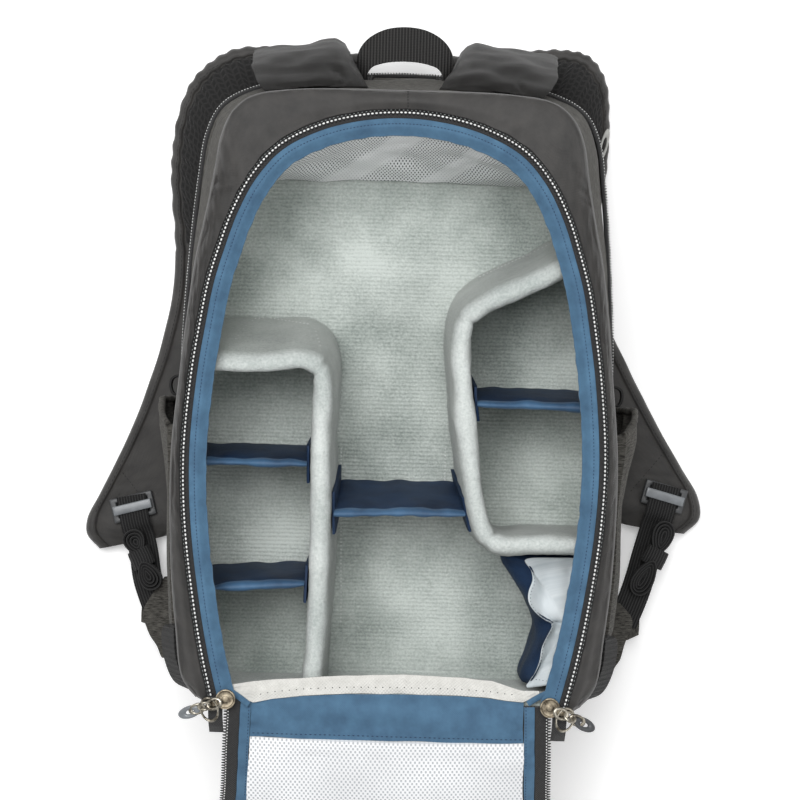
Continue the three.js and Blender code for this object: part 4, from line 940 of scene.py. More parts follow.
def makeFlap():
    settle(
        flapLoft("flapBody", flapArch, 0, flap["length"] - 1.2, 3, flapPanelSection, nylon), "nylon", "flap_panel",
        fill=0.5,
    )
    settle(flapStrip("flapTape", 1.4, flap["tapeWidth"], flap["cloth"], blackTape), "zip_tape", "flap_zip_tape")
    start = 1.4 + flap["tapeWidth"] + gap
    facing = flapStrip("flapFacing", start, flap["facingWidth"], flap["cloth"], steelBlue)
    ruffle(facing, 0.5, (8, 10), 5.0)
    settle(facing, "facing_blue", "flap_facing")
    inside = inset(flapArch, start + flap["facingWidth"] + gap, False)
    band = flapBandStrip(inside)
    end = inside[:, 1].max() - 1.5
    pocket = flapLoft("flapMeshSheet", inside, flap["bandWidth"] + gap, end, 2.6, flapMeshSection, flapMesh)
    ruffle(pocket, 1.6, (38, 30), 9.0, lambda p: 1 if p.y < -224 else 0.2)
    settle(pocket, "white_mesh", "flap_mesh_pocket")
    return band


flapBand = makeFlap()
print("flap is made")


# Inside: mesh panel, dividers, pouch, binding

inner = {
    "dividerThickness": 14,
    "dividerHeight": 92,
    "smallThickness": 6.5,
    "smallHeight": 80,
    "tab": 2.4,
    "bindingThickness": 2,
    "pouchDepth": 64,
    "meshThickness": 1.6,
    "pinches": [
        ((-44, 25), (-55, 12), 1.5, 2.6), ((-44, 29), (-53, 22), 2.5, -0.8), ((38, 54), (50, 49), 1.6, 2.6),
        ((58, -93), (66.5, -81), 1.5, 3.0), ((66, -93), (72, -86), 3, -0.7),
    ],
    "meshFolds": [
        ((-45, 145.7, 90), (16, 171, 150), 2.6, -1.6), ((-42, 142, 90), (22, 166, 150), 1.8, 1.0),
        ((20, 147.3, 80), (68, 167, 140), 2.4, -1.5), ((26, 144, 80), (70, 162, 140), 1.8, 1.0),
    ],
}
zDivider = zInner + inner["dividerHeight"]
leftDividerRows = [
    (-1, 19, 0, 26, "side"), (-85, 20, 0, 26, ""), (-58, 22, 0, 24, ""), (-48.5, 15, 2, 20, ""),
    (-47.5, -30, 2, 0, ""), (-46, -90, 2, 0, ""), (-47, -140, 1, 0, ""), (-48, -181, 0, 0, "bottom"),
]
rightDividerRows = [
    (1, 87, 0, 18, "side"), (106, 86, 0, 18, ""), (88, 77, 0, 18, ""), (49, 57, 0, 16, ""), (41.5, 45, -2, 12, ""),
    (43, 4, -2, 0, ""), (49, -43, -2, 0, ""), (58, -82, -2, 0, ""), (68, -89.5, 0, 0, ""), (94, -89.5, 0, 2, ""),
    (1, -90.5, 0, 2, "side"),
]
bayRows = [
    ("bay_divider_left_upper", ("side", "left"), (-43, -43), 8, (26, 24)),
    ("bay_divider_left_lower", ("side", "left"), (-125, -119.5), 7, (22, 24)),
    ("bay_divider_middle", ("left", "right"), (-74, -72.5), 16, (27, 22)),
    ("bay_divider_right", ("right", "side"), (-1.5, -2.5), 9, (22, 18)),
]
pouchMouth = [
    (72, -98.5, 0), (79, -114, 0), (89, -130, 0), (95, -148, 0), (90, -166, 0), (86, -181, 0), (100, -182, 0),
    (1, -170, 1), (1, -150, 1), (1, -126, 1), (1, -98.5, 1), (96, -98.5, 0),
]
pouchLip = [
    (86, -101.5, 0), (90, -107.3, 0), (91.5, -113.7, 0), (89.1, -121.5, 0), (89.3, -128, 0), (94, -134.9, 0),
    (99.9, -139.3, 0), (104.5, -141.7, 0), (102.1, -148.3, 0), (98.5, -157.4, 0), (97.4, -165.2, 0),
    (93.8, -174.9, 0), (89, -182.4, 0), (95.5, -182.2, 0), (104, -180.6, 0), (1, -174, 1), (1, -150, 1), (1, -126, 1),
    (1, -103, 1), (100, -99.5, 0),
]
pouchFolds = [
    ((104.5, -141.7), (114, -142.5), 1.5, 2.6), ((113, -142.5), (123, -137), 1.7, 2.2),
    ((105, -146.5), (118, -149), 2.2, -1.2), ((105, -168), (118, -159), 1.6, 2.2),
    ((105, -173.5), (117, -171), 1.5, 1.8), ((103, -171), (117, -165), 1.6, -1.2),
    ((93, -110.5), (111, -109.5), 1.3, 1.8), ((110, -109.5), (122, -104), 1.5, 2.0),
    ((94, -114), (113, -113), 1.7, -1.2), ((98, -152), (108, -131), 5, -1.4), ((115, -130), (118, -118), 4, 1.0),
]


def dividerLine(rows, share):
    z = zFoot + (zDivider - zFoot) * share
    cavity = cavityOutline(z)
    half = inner["dividerThickness"] / 2
    path = []
    for x, y, footX, footY, ends in rows:
        x, y = x + footX * (1 - share), y + footY * (1 - share)
        if ends == "side":
            x = math.copysign(min(reach(cavity, y + half), reach(cavity, y - half)) - gap * 1.5, x)
        if ends == "bottom":
            y = -topReach(cavity * np.array([1, -1, 1]), x) + gap * 1.5
        path.append((x, y, z))
    return np.array(path)


def bigDivider(name, rows, node, seed):
    half = inner["dividerThickness"] / 2
    profile = [
        (0, 1), (0.15, 1.02), (0.35, 1.04), (0.55, 1.02), (0.72, 1), (0.84, 0.98), (0.92, 0.88), (0.97, 0.66),
        (0.993, 0.36), (1.0, 0.1),
    ]
    lines = []
    for share, width in profile:
        path = between(dividerLine(rows, share), 9)
        path = evenly(path, 150)
        lines.append((path, sideways(path) * half * width))
    loops = [
        [path[i] - out[i] for path, out in lines] + [path[i] + out[i] for path, out in reversed(lines)]
        for i in range(151)
    ]
    made = loft(name, loops, dividerFelt, sharp=70)
    crumple(made, 1.5, 22, seed)
    crumple(made, 0.5, 5, seed + 3)
    crease(made, inner["pinches"], lambda spot: spot[2] > zDivider - 26)
    return settle(made, "divider_felt", node, fill=0.8)


def seat(kind, side, y, z):
    share = (z - zFoot) / (zDivider - zFoot)
    if kind == "side":
        return side * (reach(cavityOutline(z), y) - gap)
    path = dividerLine(leftDividerRows if kind == "left" else rightDividerRows, share)
    face = path + sideways(path) * (1 if side < 0 else -1) * (inner["dividerThickness"] / 2 + gap)
    crossing = []
    for a, b in zip(face, face[1:]):
        if (a[1] - y) * (b[1] - y) <= 0 and a[1] != b[1] and abs(a[0]) <= 90:
            crossing.append(a[0] + (b[0] - a[0]) * (y - a[1]) / (b[1] - a[1]))
    return max(crossing) if side < 0 else min(crossing)


def bayDivider(name, ends, places, footY, tabs, seed):
    top, half = zInner + inner["smallHeight"], inner["smallThickness"] / 2
    profile = [(0, 1), (0.2, 1.05), (0.45, 1.08), (0.7, 1.04), (0.86, 1), (0.94, 0.86), (0.985, 0.55), (1, 0.15)]
    loops = []
    for along in np.linspace(0, 1, 31):
        ring = []
        for face, order in ((-1, profile), (1, profile[::-1])):
            for share, width in order:
                z = zFoot + (top - zFoot) * share - 2.2 * math.sin(math.pi * along) * share
                lean = footY * (top - z) / (top - zFoot)
                near, far = seat(ends[0], -1, places[0] + lean, z), seat(ends[1], 1, places[1] + lean, z)
                x = near + inner["tab"] * 0.5 + (far - near - inner["tab"]) * along
                y = places[0] + (places[1] - places[0]) * along + lean
                pinch = 0.72 + 0.28 * math.sin(math.pi * along) ** 0.35 if 0 < along < 1 else 0.72
                ring.append((x, y + face * half * width * pinch, z))
        loops.append(ring)
    made = loft(name + "Web", loops, navySatin, sharp=70)
    made.data.materials.append(navyRidgeLit)
    for face in made.data.polygons:
        # the top band of each bay divider takes the lighter navy copy: painted highlight
        face.material_index = 1 if face.center.z / mm > top - 2.2 - 5 else 0
    crumple(made, 1.7, 12, seed, None, (1, 1, 0.45))
    settle(made, "bay_navy", name, fill=0.4)
    for side, kind, place, width in ((-1, ends[0], places[0], tabs[0]), (1, ends[1], places[1], tabs[1])):
        loops = []
        for share in (0, 0.1, 0.3, 0.5, 0.7, 0.9, 0.97):
            z = zFoot + (top - zFoot) * share
            lean = footY * (top - z) / (top - zFoot)
            ys = place + lean + np.linspace(-width / 2, width / 2, 9)
            wall = [seat(kind, side, y, z) for y in ys]
            thin = inner["tab"] * (0.6 if share > 0.9 else 0.9)
            loops.append(slab([(x, y, z) for x, y in zip(wall, ys)], (-side * thin, 0, 0)))
        settle(loft(name + ("Near" if side < 0 else "Far") + "Tab", loops, navySatin), "bay_navy")


def topMesh():
    facingInner = inset(zipLine, facingEnd - 1.4, False)
    foot, rim = cavityOutline(zInner + bag["floorFillet"]), cavityOutline(zRim - 1)
    footLine = opening["bottom"] + opening["height"] - 32
    lowest = footLine - 10
    loops = []
    for across in np.linspace(-1, 1, 73):
        footX = across * (reach(foot, footLine - 4) - 1.5)
        rimX = across * (reach(rim, lowest) - 1.5)
        y = max(topReach(facingInner, rimX), lowest)
        under = zFacing - opening["facingDip"] - gap if y > lowest + 0.5 else zRim - 0.6
        top, bottom = np.array((rimX, y, under)), np.array((footX, footLine - 4 * across**2, zFoot))
        middle = (top + bottom) / 2 + (0, 1.5, 0)
        loops.append(slab(between([bottom, middle, top], 12), (0, inner["meshThickness"], 0)))
    made = loft("topMeshSheet", loops, panelMesh)
    crumple(made, 3.6, 26, 5.0, toward=(0, -0.8, 0.6))
    crease(made, inner["meshFolds"], toward=(0, -0.8, 0.6))
    settle(made, "white_mesh", "top_mesh_panel")


def pouch():
    def ring(rows, z, distance):
        cavity = cavityOutline(z)
        points = np.array([(reach(cavity, y) - gap if side else x, y, z) for x, y, side in rows])
        return inset(evenly(between(points, 8, True), 120, True), distance)

    top = zInner + inner["pouchDepth"]
    outer = [
        ring(pouchMouth, zFoot, 3), ring(pouchMouth, zFoot + 2, 0.6),
        *[ring(pouchMouth, z, 0) for z in np.linspace(zFoot + 6, top - 16, 6)],
    ]
    lip = ring(pouchLip, top, 0)
    outer += [level(outer[-1] * (1 - s) + lip * s, top - 16 + 15.5 * s**0.8) for s in (0.2, 0.45, 0.7, 0.9, 1)]
    inside = [
        ring(pouchLip, top + 0.1, 0.6), ring(pouchLip, top - 0.4, 1.1), ring(pouchLip, top - 10, 1.7),
        ring(pouchLip, top - 22, 2.6),
    ]
    cup = loft("pouchCup", fanned(outer[0])[::-1] + outer + inside + fanned(inside[-1]), navySatin)
    crumple(cup, 1.4, 13, 12.0, lambda p: 0.2 if p.z > top - 2 else 1)
    settle(cup, "bay_navy", "gear_pouch")
    middle = np.array((117.5, -142, top))
    falls = [
        (1.01, 1.0), (0.985, 1.6), (0.95, 1.1), (0.9, -0.4), (0.82, -2.4), (0.72, -3.8), (0.6, -4.2), (0.46, -3.8),
        (0.3, -3.2), (0.14, -2.8),
    ]
    over = [level(middle + (lip - middle) * share, top + fall) for share, fall in falls]
    under = [level(middle + (lip - middle) * min(share, 0.985), top + fall - 0.75) for share, fall in falls]
    lining = loft("pouchLining", under[::-1] + over, silverSatin)
    crumple(lining, 3.0, 15, 3.0, lambda p: min(1, max(0.2, (p.x - 90) / 10)), toward=(0, 0, 1))
    crumple(lining, 1.6, 6, 9.0, lambda p: min(1, max(0, (p.x - 94) / 6)), (1, 0.6, 1), (0, 0, 1))
    crease(lining, [(a, b, width, depth * 1.9) for a, b, width, depth in pouchFolds], toward=(0, 0, 1))
    settle(lining, "pouch")
    edge = [middle + (p - middle) * 0.955 for p in lip if p[0] < 106 and -181 < p[1] < -103]
    stitchOn(lining, "liningStitches", edge, 2.2, blueThread, "pouch", (0.4, 0.45, 0.3))

bindingFolds = [
    ((-84.6, -193), (-84.2, -178), 0.9, 0.9), ((-82.6, -193), (-82.4, -178), 1.0, -0.5),
    ((9.4, -186), (9.6, -172), 0.8, 0.7), ((-98, -184), (-86, -187), 1.2, 0.6),
]
cornerRows = {
    -1: [(-106, -182, 161.6), (-97.5, -186.6, 162.2), (-91.5, -190.2, 164.2), (-87, -193.2, 166.8)],
    1: [(108, -178, 161.6), (98, -182.6, 161.9), (92.5, -185.6, 162.4), (87.8, -188.4, 163.8)],
}
cornerSection = [(-1.9, 0), (1.9, 0), (1.7, 0.9), (0.6, 1.3), (-0.6, 1.3), (-1.7, 0.9)]


def hingeBinding():
    loops = []
    thick = inner["bindingThickness"] * 0.8 - 0.5 * abs(np.linspace(-1, 1, 9)) ** 3
    for x in np.linspace(bindingRows[0][0], bindingRows[-1][0], 181):
        ys = np.linspace(lookUp(bindingRows, x), lookUp(bindingRows, x, 2), 9)
        loops.append(slab([(x, y, hingeHeight(y, 0.95) + 0.1) for y in ys], rising(thick)))
    made = loft("hingeBindingStrip", loops, creamBinding)
    ruffle(made, 0.9, (13, 9), 3.0, lambda p: 0.6 if p.y > -186.5 else 0.1)
    crease(made, bindingFolds, toward=(0, 0, 1))
    settle(made, "binding", "hinge_binding")
    for side, rows in cornerRows.items():
        line = between(rows, 5)
        loops = [[p + w * s + (0, 0, z) for s, z in cornerSection] for p, w in zip(line, sideways(line))]
        settle(loft("cornerWrap" + tags[side], loops, steelBlue), "facing_blue")
    return made


topMesh()
leftPad = bigDivider("leftDivider", leftDividerRows, "divider_left", 1.0)
rightPad = bigDivider("rightDivider", rightDividerRows, "divider_right", 6.0)
for number, row in enumerate(bayRows):
    bayDivider(*row, 20.0 + number)
pouch()
hingeStrip = hingeBinding()
print("inside is made")


# Harness

harness = {
    "strap": 12.5,
    "padWidth": 160,
    "padLength": 332,
    "padCorner": 26,
    "handleThickness": 2.4,
    "airFrom": {-1: 105, 1: 120},
    "darts": {
        -1: [
            ((-188.5, -57.9), (-172, -77.7), 1.4, 1.7), ((-196.3, -79), (-190.9, -72.6), 1.3, 1.3),
            ((-180, -50), (-166, -66), 3, -0.9),
        ],
    },
    "folds": {
        -1: [
            ((-82.2, 211.9), (-55.2, 212.7), 5, 1.8), ((-87.7, 225.3), (-49.2, 230.2), 2.5, -0.9),
            ((-80.5, 198.6), (-40.7, 202), 1.4, 1.3),
        ],
    },
}
harness["darts"][1] = [
    ((187.2, -33.2), (165, -60.3), 1.5, 1.8), ((196, -62), (178, -76), 2.4, 1.0), ((184, -42), (168, -62), 3, -0.9),
    ((192, -66), (172, -80), 2.5, -0.9),
]
harness["folds"][-1] += [
    ((-48.8, 214.4), (-41, 211.1), 2, 1.5), ((-41, 211.1), (-37.7, 206.7), 2, 1.5),
    ((-37.7, 206.7), (-39.4, 199.6), 2, 1.3),
]
harness["folds"][1] = [
    ((42.1, 228.8), (78.9, 225.3), 2.5, -0.9), ((31.5, 216.3), (61, 221.3), 4, 1.7),
    ((73, 205.2), (78.3, 198.2), 2, 1.6), ((33.3, 200.2), (76.4, 199.6), 1.4, 1.3), ((66, 214), (100, 207), 4, 1.3),
]
strapOuter = {
    -1: [
        (29, 240), (60, 243), (90, 244), (118, 242), (138, 230.6), (152, 212), (160, 178), (161, 150), (157, 105),
        (158, 70), (164, 38), (175, 0), (189, -37), (204, -69), (213, -88), (213, -99), (204, -109),
    ],
    1: [
        (29, 240), (58, 244), (86, 246), (110, 247), (128, 243), (139.8, 227.4), (143.4, 200), (142.5, 165),
        (138.8, 129), (140, 92), (147, 56), (162, 25), (182, -12), (200, -42), (212, -62), (213.5, -77), (203, -88),
    ],
}
strapInner = {
    -1: [
        (29, 178), (60, 178), (80, 175), (90, 166), (95, 154), (97, 140), (97, 122), (96, 104), (96, 82), (98, 58),
        (102, 34), (108, 6), (115, -22), (122, -48), (130, -70), (142, -86), (158, -99),
    ],
    1: [
        (29, 178), (58, 178), (76, 175), (84, 167), (88, 156), (90, 143), (91, 126), (91, 106), (92, 86), (94, 64),
        (98, 42), (104, 18), (112, -6), (120, -30), (130, -52), (143, -68), (158, -82),
    ],
}
yokeSection = [
    (4, 0.4), (21, 0.4), (27, 6), (29, 22), (27, 44), (22, 74), (15, 104), (6, 121), (1.1, 124), (0.9, 86),
    (0.9, 46.6), (4, 37),
]
yokeEnds = [
    (33, 98), (36, 101), (38, 103), (38, 103), (38, 102), (37, 101), (32, 99), (25, 93), (22.5, 89), (29.5, 92),
    (31.5, 96), (32, 98),
]
yokeRows = [(0, 0.72), (0.05, 0.9), (0.15, 1.05), (0.3, 1.04), (0.6, 0.97), (0.85, 0.97), (1, 1.0)]


def strapLines(side, steps=12):
    outer = between([(side * x, y, 0) for x, y in strapOuter[side]], steps)
    near = between([(side * x, y, 0) for x, y in strapInner[side]], steps)
    return outer, near


def shoulderStrap(side):
    outer, near = strapLines(side)
    high = harness["strap"]
    wave = np.linspace(0, 2 * math.pi * len(outer) * 2.3 / 12, len(outer))
    loops, stitched = [], []
    for a, b, turn in zip(near, outer, wave):
        way = normed(b - a)
        b = b + way * 0.6 * math.sin(turn) * (b[1] > 100)
        width = np.linalg.norm(b - a)
        inside = width - 9
        low = [(0.4, 1.2), (3, 0), (width / 2, 0), (width - 3, 0), (width - 0.4, 1.2), (width, 3.4), (width, 8)]
        top = [
            (width - 1.2, high - 2.4), (width - 3, high - 0.9), (width - 5, high - 0.6), (width - 6.6, high - 0.9),
            (width - 7.6, high - 1.9), (inside, high - 0.7),
        ]
        top += [
            (3 + (inside - 3) * s, high - 0.9 + 1.2 * math.sin(math.pi * s) ** 0.5)
            for s in (0.85, 0.7, 0.5, 0.3, 0.15)
        ]
        top += [(3, high - 0.9), (1.2, high - 2.4), (0, 8), (0, 3.4)]
        loops.append([a + way * s + (0, 0, z) for s, z in low + top])
        if -85 < b[1] < 235:
            stitched.append(b - way * 5.2)
    made = loft("strap" + tags[side], loops, nylon, sharp=70)
    crumple(made, 1.3, 22, 30 + side, lambda p: 1 if p.z > 9 else 0.3)
    crease(made, harness["darts"][side], lambda spot: spot[2] > 8)
    made.data.materials.append(airMesh)
    edges = np.array(outer)[:, :2]
    for face in made.data.polygons:
        x, y, z = face.center / mm
        far = np.linalg.norm(edges - (x, y), axis=1).min()
        if y > harness["airFrom"][side] and face.normal.z > 0.4 and far > 8.2:
            face.material_index = 1
    settle(made, "strap", "shoulder_strap_" + names[side], fill=0.75)
    stitchOn(made, "strapStitches" + tags[side], stitched, 3.0, darkThread, "strap", (0.7, 0.5, 0.3))
    for number, dart in enumerate(harness["darts"][side][:2]):
        path = [(x, y + 1.8) for x, y in dart[:2]]
        stitchOn(made, "dartStitches" + tags[side] + str(number), path, 2.6, darkThread, "strap", (0.7, 0.5, 0.3))


def yoke(side):
    loops = []
    for along in np.linspace(0, 1, 57):
        full = lookUp(yokeRows, along)
        ring = []
        for j, ((over, high), (first, last)) in enumerate(zip(yokeSection, yokeEnds)):
            x = first + along * (last - first)
            outside = 0 < j < 8
            z = harness["strap"] + high * (0.94 + 0.06 * full if outside else 1)
            wall = topReach(back, x) if z <= zFloor + 2 else topReach(bodyOutline(z), x)
            ring.append((side * x, wall + (4 + (over - 4) * full if outside else over), z))
        loops.append(ring)
    loops = np.swapaxes(between(np.swapaxes(np.array(loops), 0, 1), 6, True), 0, 1)
    # the yokes take the darker nylon copy: painted shade
    made = loft("yoke" + tags[side], loops, yokeNylonShaded, sharp=80)
    crumple(made, 2.6, 22, 40 + side, lambda p: 1 if p.z > 16 and p.y > 190 else 0.1, (1, 1, 0.5))
    crumple(made, 0.9, 9, 44 + side, lambda p: 1 if p.z > 24 and p.y > 190 else 0, (0.5, 1.7, 0.5))
    crease(made, harness["folds"][side], lambda spot: spot[2] > 30)
    return settle(made, "nylon", "yoke_" + names[side], fill=0.7)


def backPad():
    r = harness["padCorner"]
    x, y = harness["padWidth"] / 2 - r, harness["padLength"] / 2 - r
    ring = []
    for turn, (cx, cy) in enumerate(((x, y), (-x, y), (-x, -y), (x, -y))):
        for angle in np.radians(np.linspace(turn * 90, turn * 90 + 90, 13)):
            ring.append((cx + r * math.cos(angle), cy + r * math.sin(angle), 0))
    ring = evenly(np.array(ring), 192, True)
    high = bag["padDepth"] - gap
    rows = [(5, 0), (2.6, 0.5), (1, 2), (0, 5), (0, 9), (0.6, high - 2), (1.6, high - 0.7), (3, high)]
    loops = [level(inset(ring, drawn), z) for drawn, z in rows]
    made = loft("backPadBody", fanned(loops[0])[::-1] + loops + fanned(loops[-1]), airMesh)
    return settle(made, "back_mesh", "back_pad", fill=0.8)


backPad()
for side in (-1, 1):
    shoulderStrap(side)
    yoke(side)
print("harness is made")


# Zip teeth and stitches

# dot and flapDot: white dots on the coil teeth, partly thread and partly a painted highlight of the glossy coil;
# faint: grey dots along the coil's outer edge, a painted highlight
zipDetail = {
    "pitch": 2.6,
    "tooth": (1.9, 3.5, 1.2),
    "dot": (1.8, 1.25, 0.62),
    "faint": (1.1, 0.5, 0.4),
    "into": -0.7,
    "flapPitch": 2.0,
    "flapTooth": (1.15, 3.6, 1.1),
    "flapDot": (0.95, 0.9, 0.5),
}


def zipTeeth():
    top = zZip + opening["zipThickness"] / 2 - 0.75
    path = level(inset(zipLine, zipDetail["into"], False), top)
    places, ways, ups = steps(path, zipDetail["pitch"])
    settle(copies("zipTeethRow", unitShape(zipDetail["tooth"], 8, 5), places, ways, ups, coilPlastic), "zip_tape")
    # white dots on the teeth: partly thread, partly a painted highlight of the glossy coil
    settle(copies("zipDotRow", unitShape(zipDetail["dot"]), places + ups * 0.5, ways, ups, whiteThreadAndGlint), "zip_tape")
    # grey dots along the coil's outer edge: painted highlight
    edge = level(inset(zipLine, zipDetail["into"] - 1.55, False), top + 0.25)
    settle(
        copies("zipEdgeRow", unitShape(zipDetail["faint"]), *steps(edge, zipDetail["pitch"]), greyCoilGlint), "zip_tape"
    )
    stitchOn(
        facingStrip, "facingStitches", inset(zipLine, facingStart + 1.5, False), 2.2, blueThread, "facing_blue",
        (0.6, 0.6, 0.4),
    )


def flapTeeth():
    def line(into, off):
        path = inset(flapArch, into, False)
        return np.array([onFlap(x, max(along, 0), flapDepth(along) + off) for x, along, z in path])

    def normals(into):
        return line(into, 2.0) - line(into, 1.0)

    off = flap["layerGap"] + flap["cloth"]
    places, ways, ups = steps(line(0.0, off - 0.5), zipDetail["flapPitch"], normals(0.0))
    settle(
        copies("flapTeethRow", unitShape(zipDetail["flapTooth"], 8, 5), places, ways, ups, coilPlastic), "zip_tape"
    )
    # white dots beside the flap teeth: partly thread, partly a painted highlight of the glossy coil
    dots = steps(line(1.3, off + 0.25), zipDetail["flapPitch"], normals(1.3))
    settle(copies("flapDotRow", unitShape(zipDetail["flapDot"]), *dots, whiteThreadAndGlint), "zip_tape")
    start = 1.4 + flap["tapeWidth"] + gap
    stitchRow(
        "flapFacingStitches", line(start + flap["facingWidth"] - 1.1, off + 0.1), 2.2, blueThread, "facing_blue",
        normals(start),
    )
    seam = [onFlap(side, flap["bandWidth"] - 2.4, 8) for side in np.linspace(-84, 84, 30)]
    stitchOn(flapBand, "flapBandStitches", seam, 3.0, blueThread, "facing_blue", (0.5, 0.62, 0.4))


def bindingHoles():
    path = [(x, lookUp(bindingRows, x) + 4.0) for x in np.linspace(-80, 78, 60)]
    stitchOn(hingeStrip, "bindingHoleRow", path, 4.5, darkThread, "binding", (0.17, 0.7, 0.4))


def dividerStitches():
    onLeft = [(-105, 37), (-101, 46), (-96.5, 52), (-88, 53), (-60, 49)]
    stitchOn(leftPad, "leftPadStitches", onLeft, 2.6, whiteThreadAndGlint, "divider_felt", (0.5, 0.6, 0.5))
    for piece, name, path, pitch, slotName, high in (
        (leftPad, "leftPadEndStitches", [(-55, 46), (-50, 34)], 2.6, "divider_felt", 0.5),
        (rightPad, "rightPadStitches", [(54, 84), (82, 98), (97, 105)], 2.6, "divider_felt", 0.5),
        (compartment, "floorStitchesLeft", [(-36.2, -34), (-33.2, -150)], 2.4, "heather", 0.4),
        (compartment, "floorStitchesRight", [(33.9, -32), (34.4, -60)], 2.4, "heather", 0.4),
    ):
        stitchOn(piece, name, path, pitch, whiteThreadAndGlint, slotName, (0.5, 0.6, high))


def frameSeam():
    x = 2.4
    path = [(x, topReach(frameArch, x) - 1.2), (x + 0.3, topReach(inset(zipLine, -zipHalf, False), x))]
    stitchOn(framePad, "frameSeamStitches", path, 2.0, darkThread, "nylon", (0.66, 0.8, 0.5))


zipTeeth()
flapTeeth()
bindingHoles()
dividerStitches()
frameSeam()
print("zip teeth and stitches are in")


# Zip pulls and end tabs

pulls = {
    "radius": 6.2,
    "thickness": 3,
    "endTab": (19, 15),
    "way": {-1: (-0.93, -0.37), 1: (0.91, -0.42)},
}
zSlider = zZip + opening["zipThickness"] / 2 + gap


def placed(piece, middle, along, up):
    along, up = Vector(along).normalized(), Vector(up)
    up = (up - up.dot(along) * along).normalized()
    turn = Matrix((along, up.cross(along), up)).transposed().to_4x4()
    piece.data.transform(Matrix.Translation(Vector(middle) * mm) @ turn @ Matrix.Scale(mm, 4))
    piece.data.update()
    return piece


def bevelled(piece, width, segments, angle):
    bpy.ops.object.mode_set(mode="OBJECT")
    edge = piece.modifiers.new("edge", "BEVEL")
    edge.width, edge.segments, edge.angle_limit = width, segments, math.radians(angle)
    bpy.ops.object.modifier_apply(modifier="edge")


def polished(piece, name, material):
    piece.name = name
    bpy.ops.object.shade_smooth_by_angle(angle=math.radians(40))
    piece.data.materials.clear()
    piece.data.materials.append(material)
    return piece


def sliderDisc(side, spot, way):
    high = pulls["thickness"]
    adder = bpy.ops.mesh.primitive_cylinder_add
    disc = startFrom(adder, vertices=40, radius=pulls["radius"], depth=high, location=(0, 0, high / 2))
    pick(disc, lambda center, normal: normal.z > 0.9)
    for thickness, depth in ((0.9, 0), (0.4, -0.6), (2.6, 0), (0.4, 0.3)):
        bpy.ops.mesh.inset(thickness=thickness, depth=depth)
    pick(disc, lambda center, normal: normal.x > 0.93 and center.z > 0.5)
    bpy.ops.mesh.extrude_region_move(TRANSFORM_OT_translate={"value": (3.4, 0, -0.2)})
    bpy.ops.transform.resize(value=(1, 0.72, 0.8), center_override=(9, 0, 1.2))
    bevelled(disc, 0.35, 2, 35)
    # the slider disc takes the darker nickel copy: painted shade
    polished(disc, "zipSliderDisc" + tags[side], shadedNickel)
    return settle(placed(disc, spot, way, (0, 0, 1)), "zip_metal", "zip_slider_" + names[side])


def wireRing(name, size, wire, middle, along, up):
    adder = bpy.ops.mesh.primitive_torus_add
    ring = startFrom(adder, major_segments=40, minor_segments=10, major_radius=size[1] / 2, minor_radius=wire)
    editAll()
    bpy.ops.transform.resize(value=(size[0] / size[1], 1, 1), center_override=(0, 0, 0))
    bpy.ops.object.mode_set(mode="OBJECT")
    return placed(polished(ring, name, antiqueNickel), middle, along, up)


def zipPull(side):
    end = zipLine[0] if side > 0 else zipLine[-1]
    spot = np.array((side * (abs(end[0]) - opening["zipWidth"] * 0.85), end[1] + 2.5, zSlider))
    way = normed(np.array((*pulls["way"][side], 0)))
    sliderDisc(side, spot, way)
    high = spot + (0, 0, pulls["thickness"] + 0.6)
    drop, tilt = np.array((0, 0, -1)), np.array((way[1], -way[0], 0)) * side
    parts = [
        ("bailRing", (8.6, 6.2), 0.95, 7.6, -0.2, 0, (0.3 * side, 0, 1)),
        ("dRing", (11, 14.5), 0.95, 11.6, 1.6, 2.4, (0.1, 0.1, 1)),
        ("roundRing", (7.4, 6.8), 0.8, 13.6, 0.2, -0.6, (0, 0.8 * side, 0.8)),
        ("chainLink", (9, 6), 0.9, 18.8, 3.0, -0.4, (0.2, -0.2, 1)),
        ("pullTip", (10.6, 5.6), 1.4, 24, 4.8, 0, (0, 0.3 * side, 1)),
    ]
    for name, size, wire, along, down, aside, up in parts:
        spot = high + way * along + drop * down + tilt * aside
        ring = wireRing(name + tags[side], size, wire, spot, way + drop * 0.2, up)
        if name == "pullTip":
            ring.data.materials[0] = bucklePlastic if side > 0 else paleBuckle
        settle(ring, "zip_metal", *(["zip_pull_" + names[side]] if name == "bailRing" else []))


def zipEndTab(side):
    end = zipLine[0]
    seamLine = end[1] - gap - opening["zipWidth"] * 0.16
    long, drop = pulls["endTab"]
    shares = (0, 0.35, 0.7, 1)
    path = between([(side * (end[0] - 1.2), seamLine - long * s, zZip - 1 - drop * s * s) for s in shares], 6)
    thick = np.interp(np.linspace(0, 1, len(path)), (0, 0.7, 1), (1.6, 1.6, 1.1))
    sides, under, over = np.array((-1, 0, 1)) * zipHalf, (0, -0.1, 0), (0, 0.35, 0)
    loops = [
        [p + (x, 0, z) for x, z in zip(sides, under)] + [p + (x, 0, t + z) for x, z in zip(sides[::-1], over)]
        for p, t in zip(path, thick)
    ]
    made = loft("endTab" + tags[side], loops, blackTape)
    return settle(made, "zip_tape", "zip_end_tab_" + names[side])


for side in (-1, 1):
    zipPull(side)
    zipEndTab(side)
print("zip pulls are in")


# Handle, webbing, buckles, pockets, tabs and loops

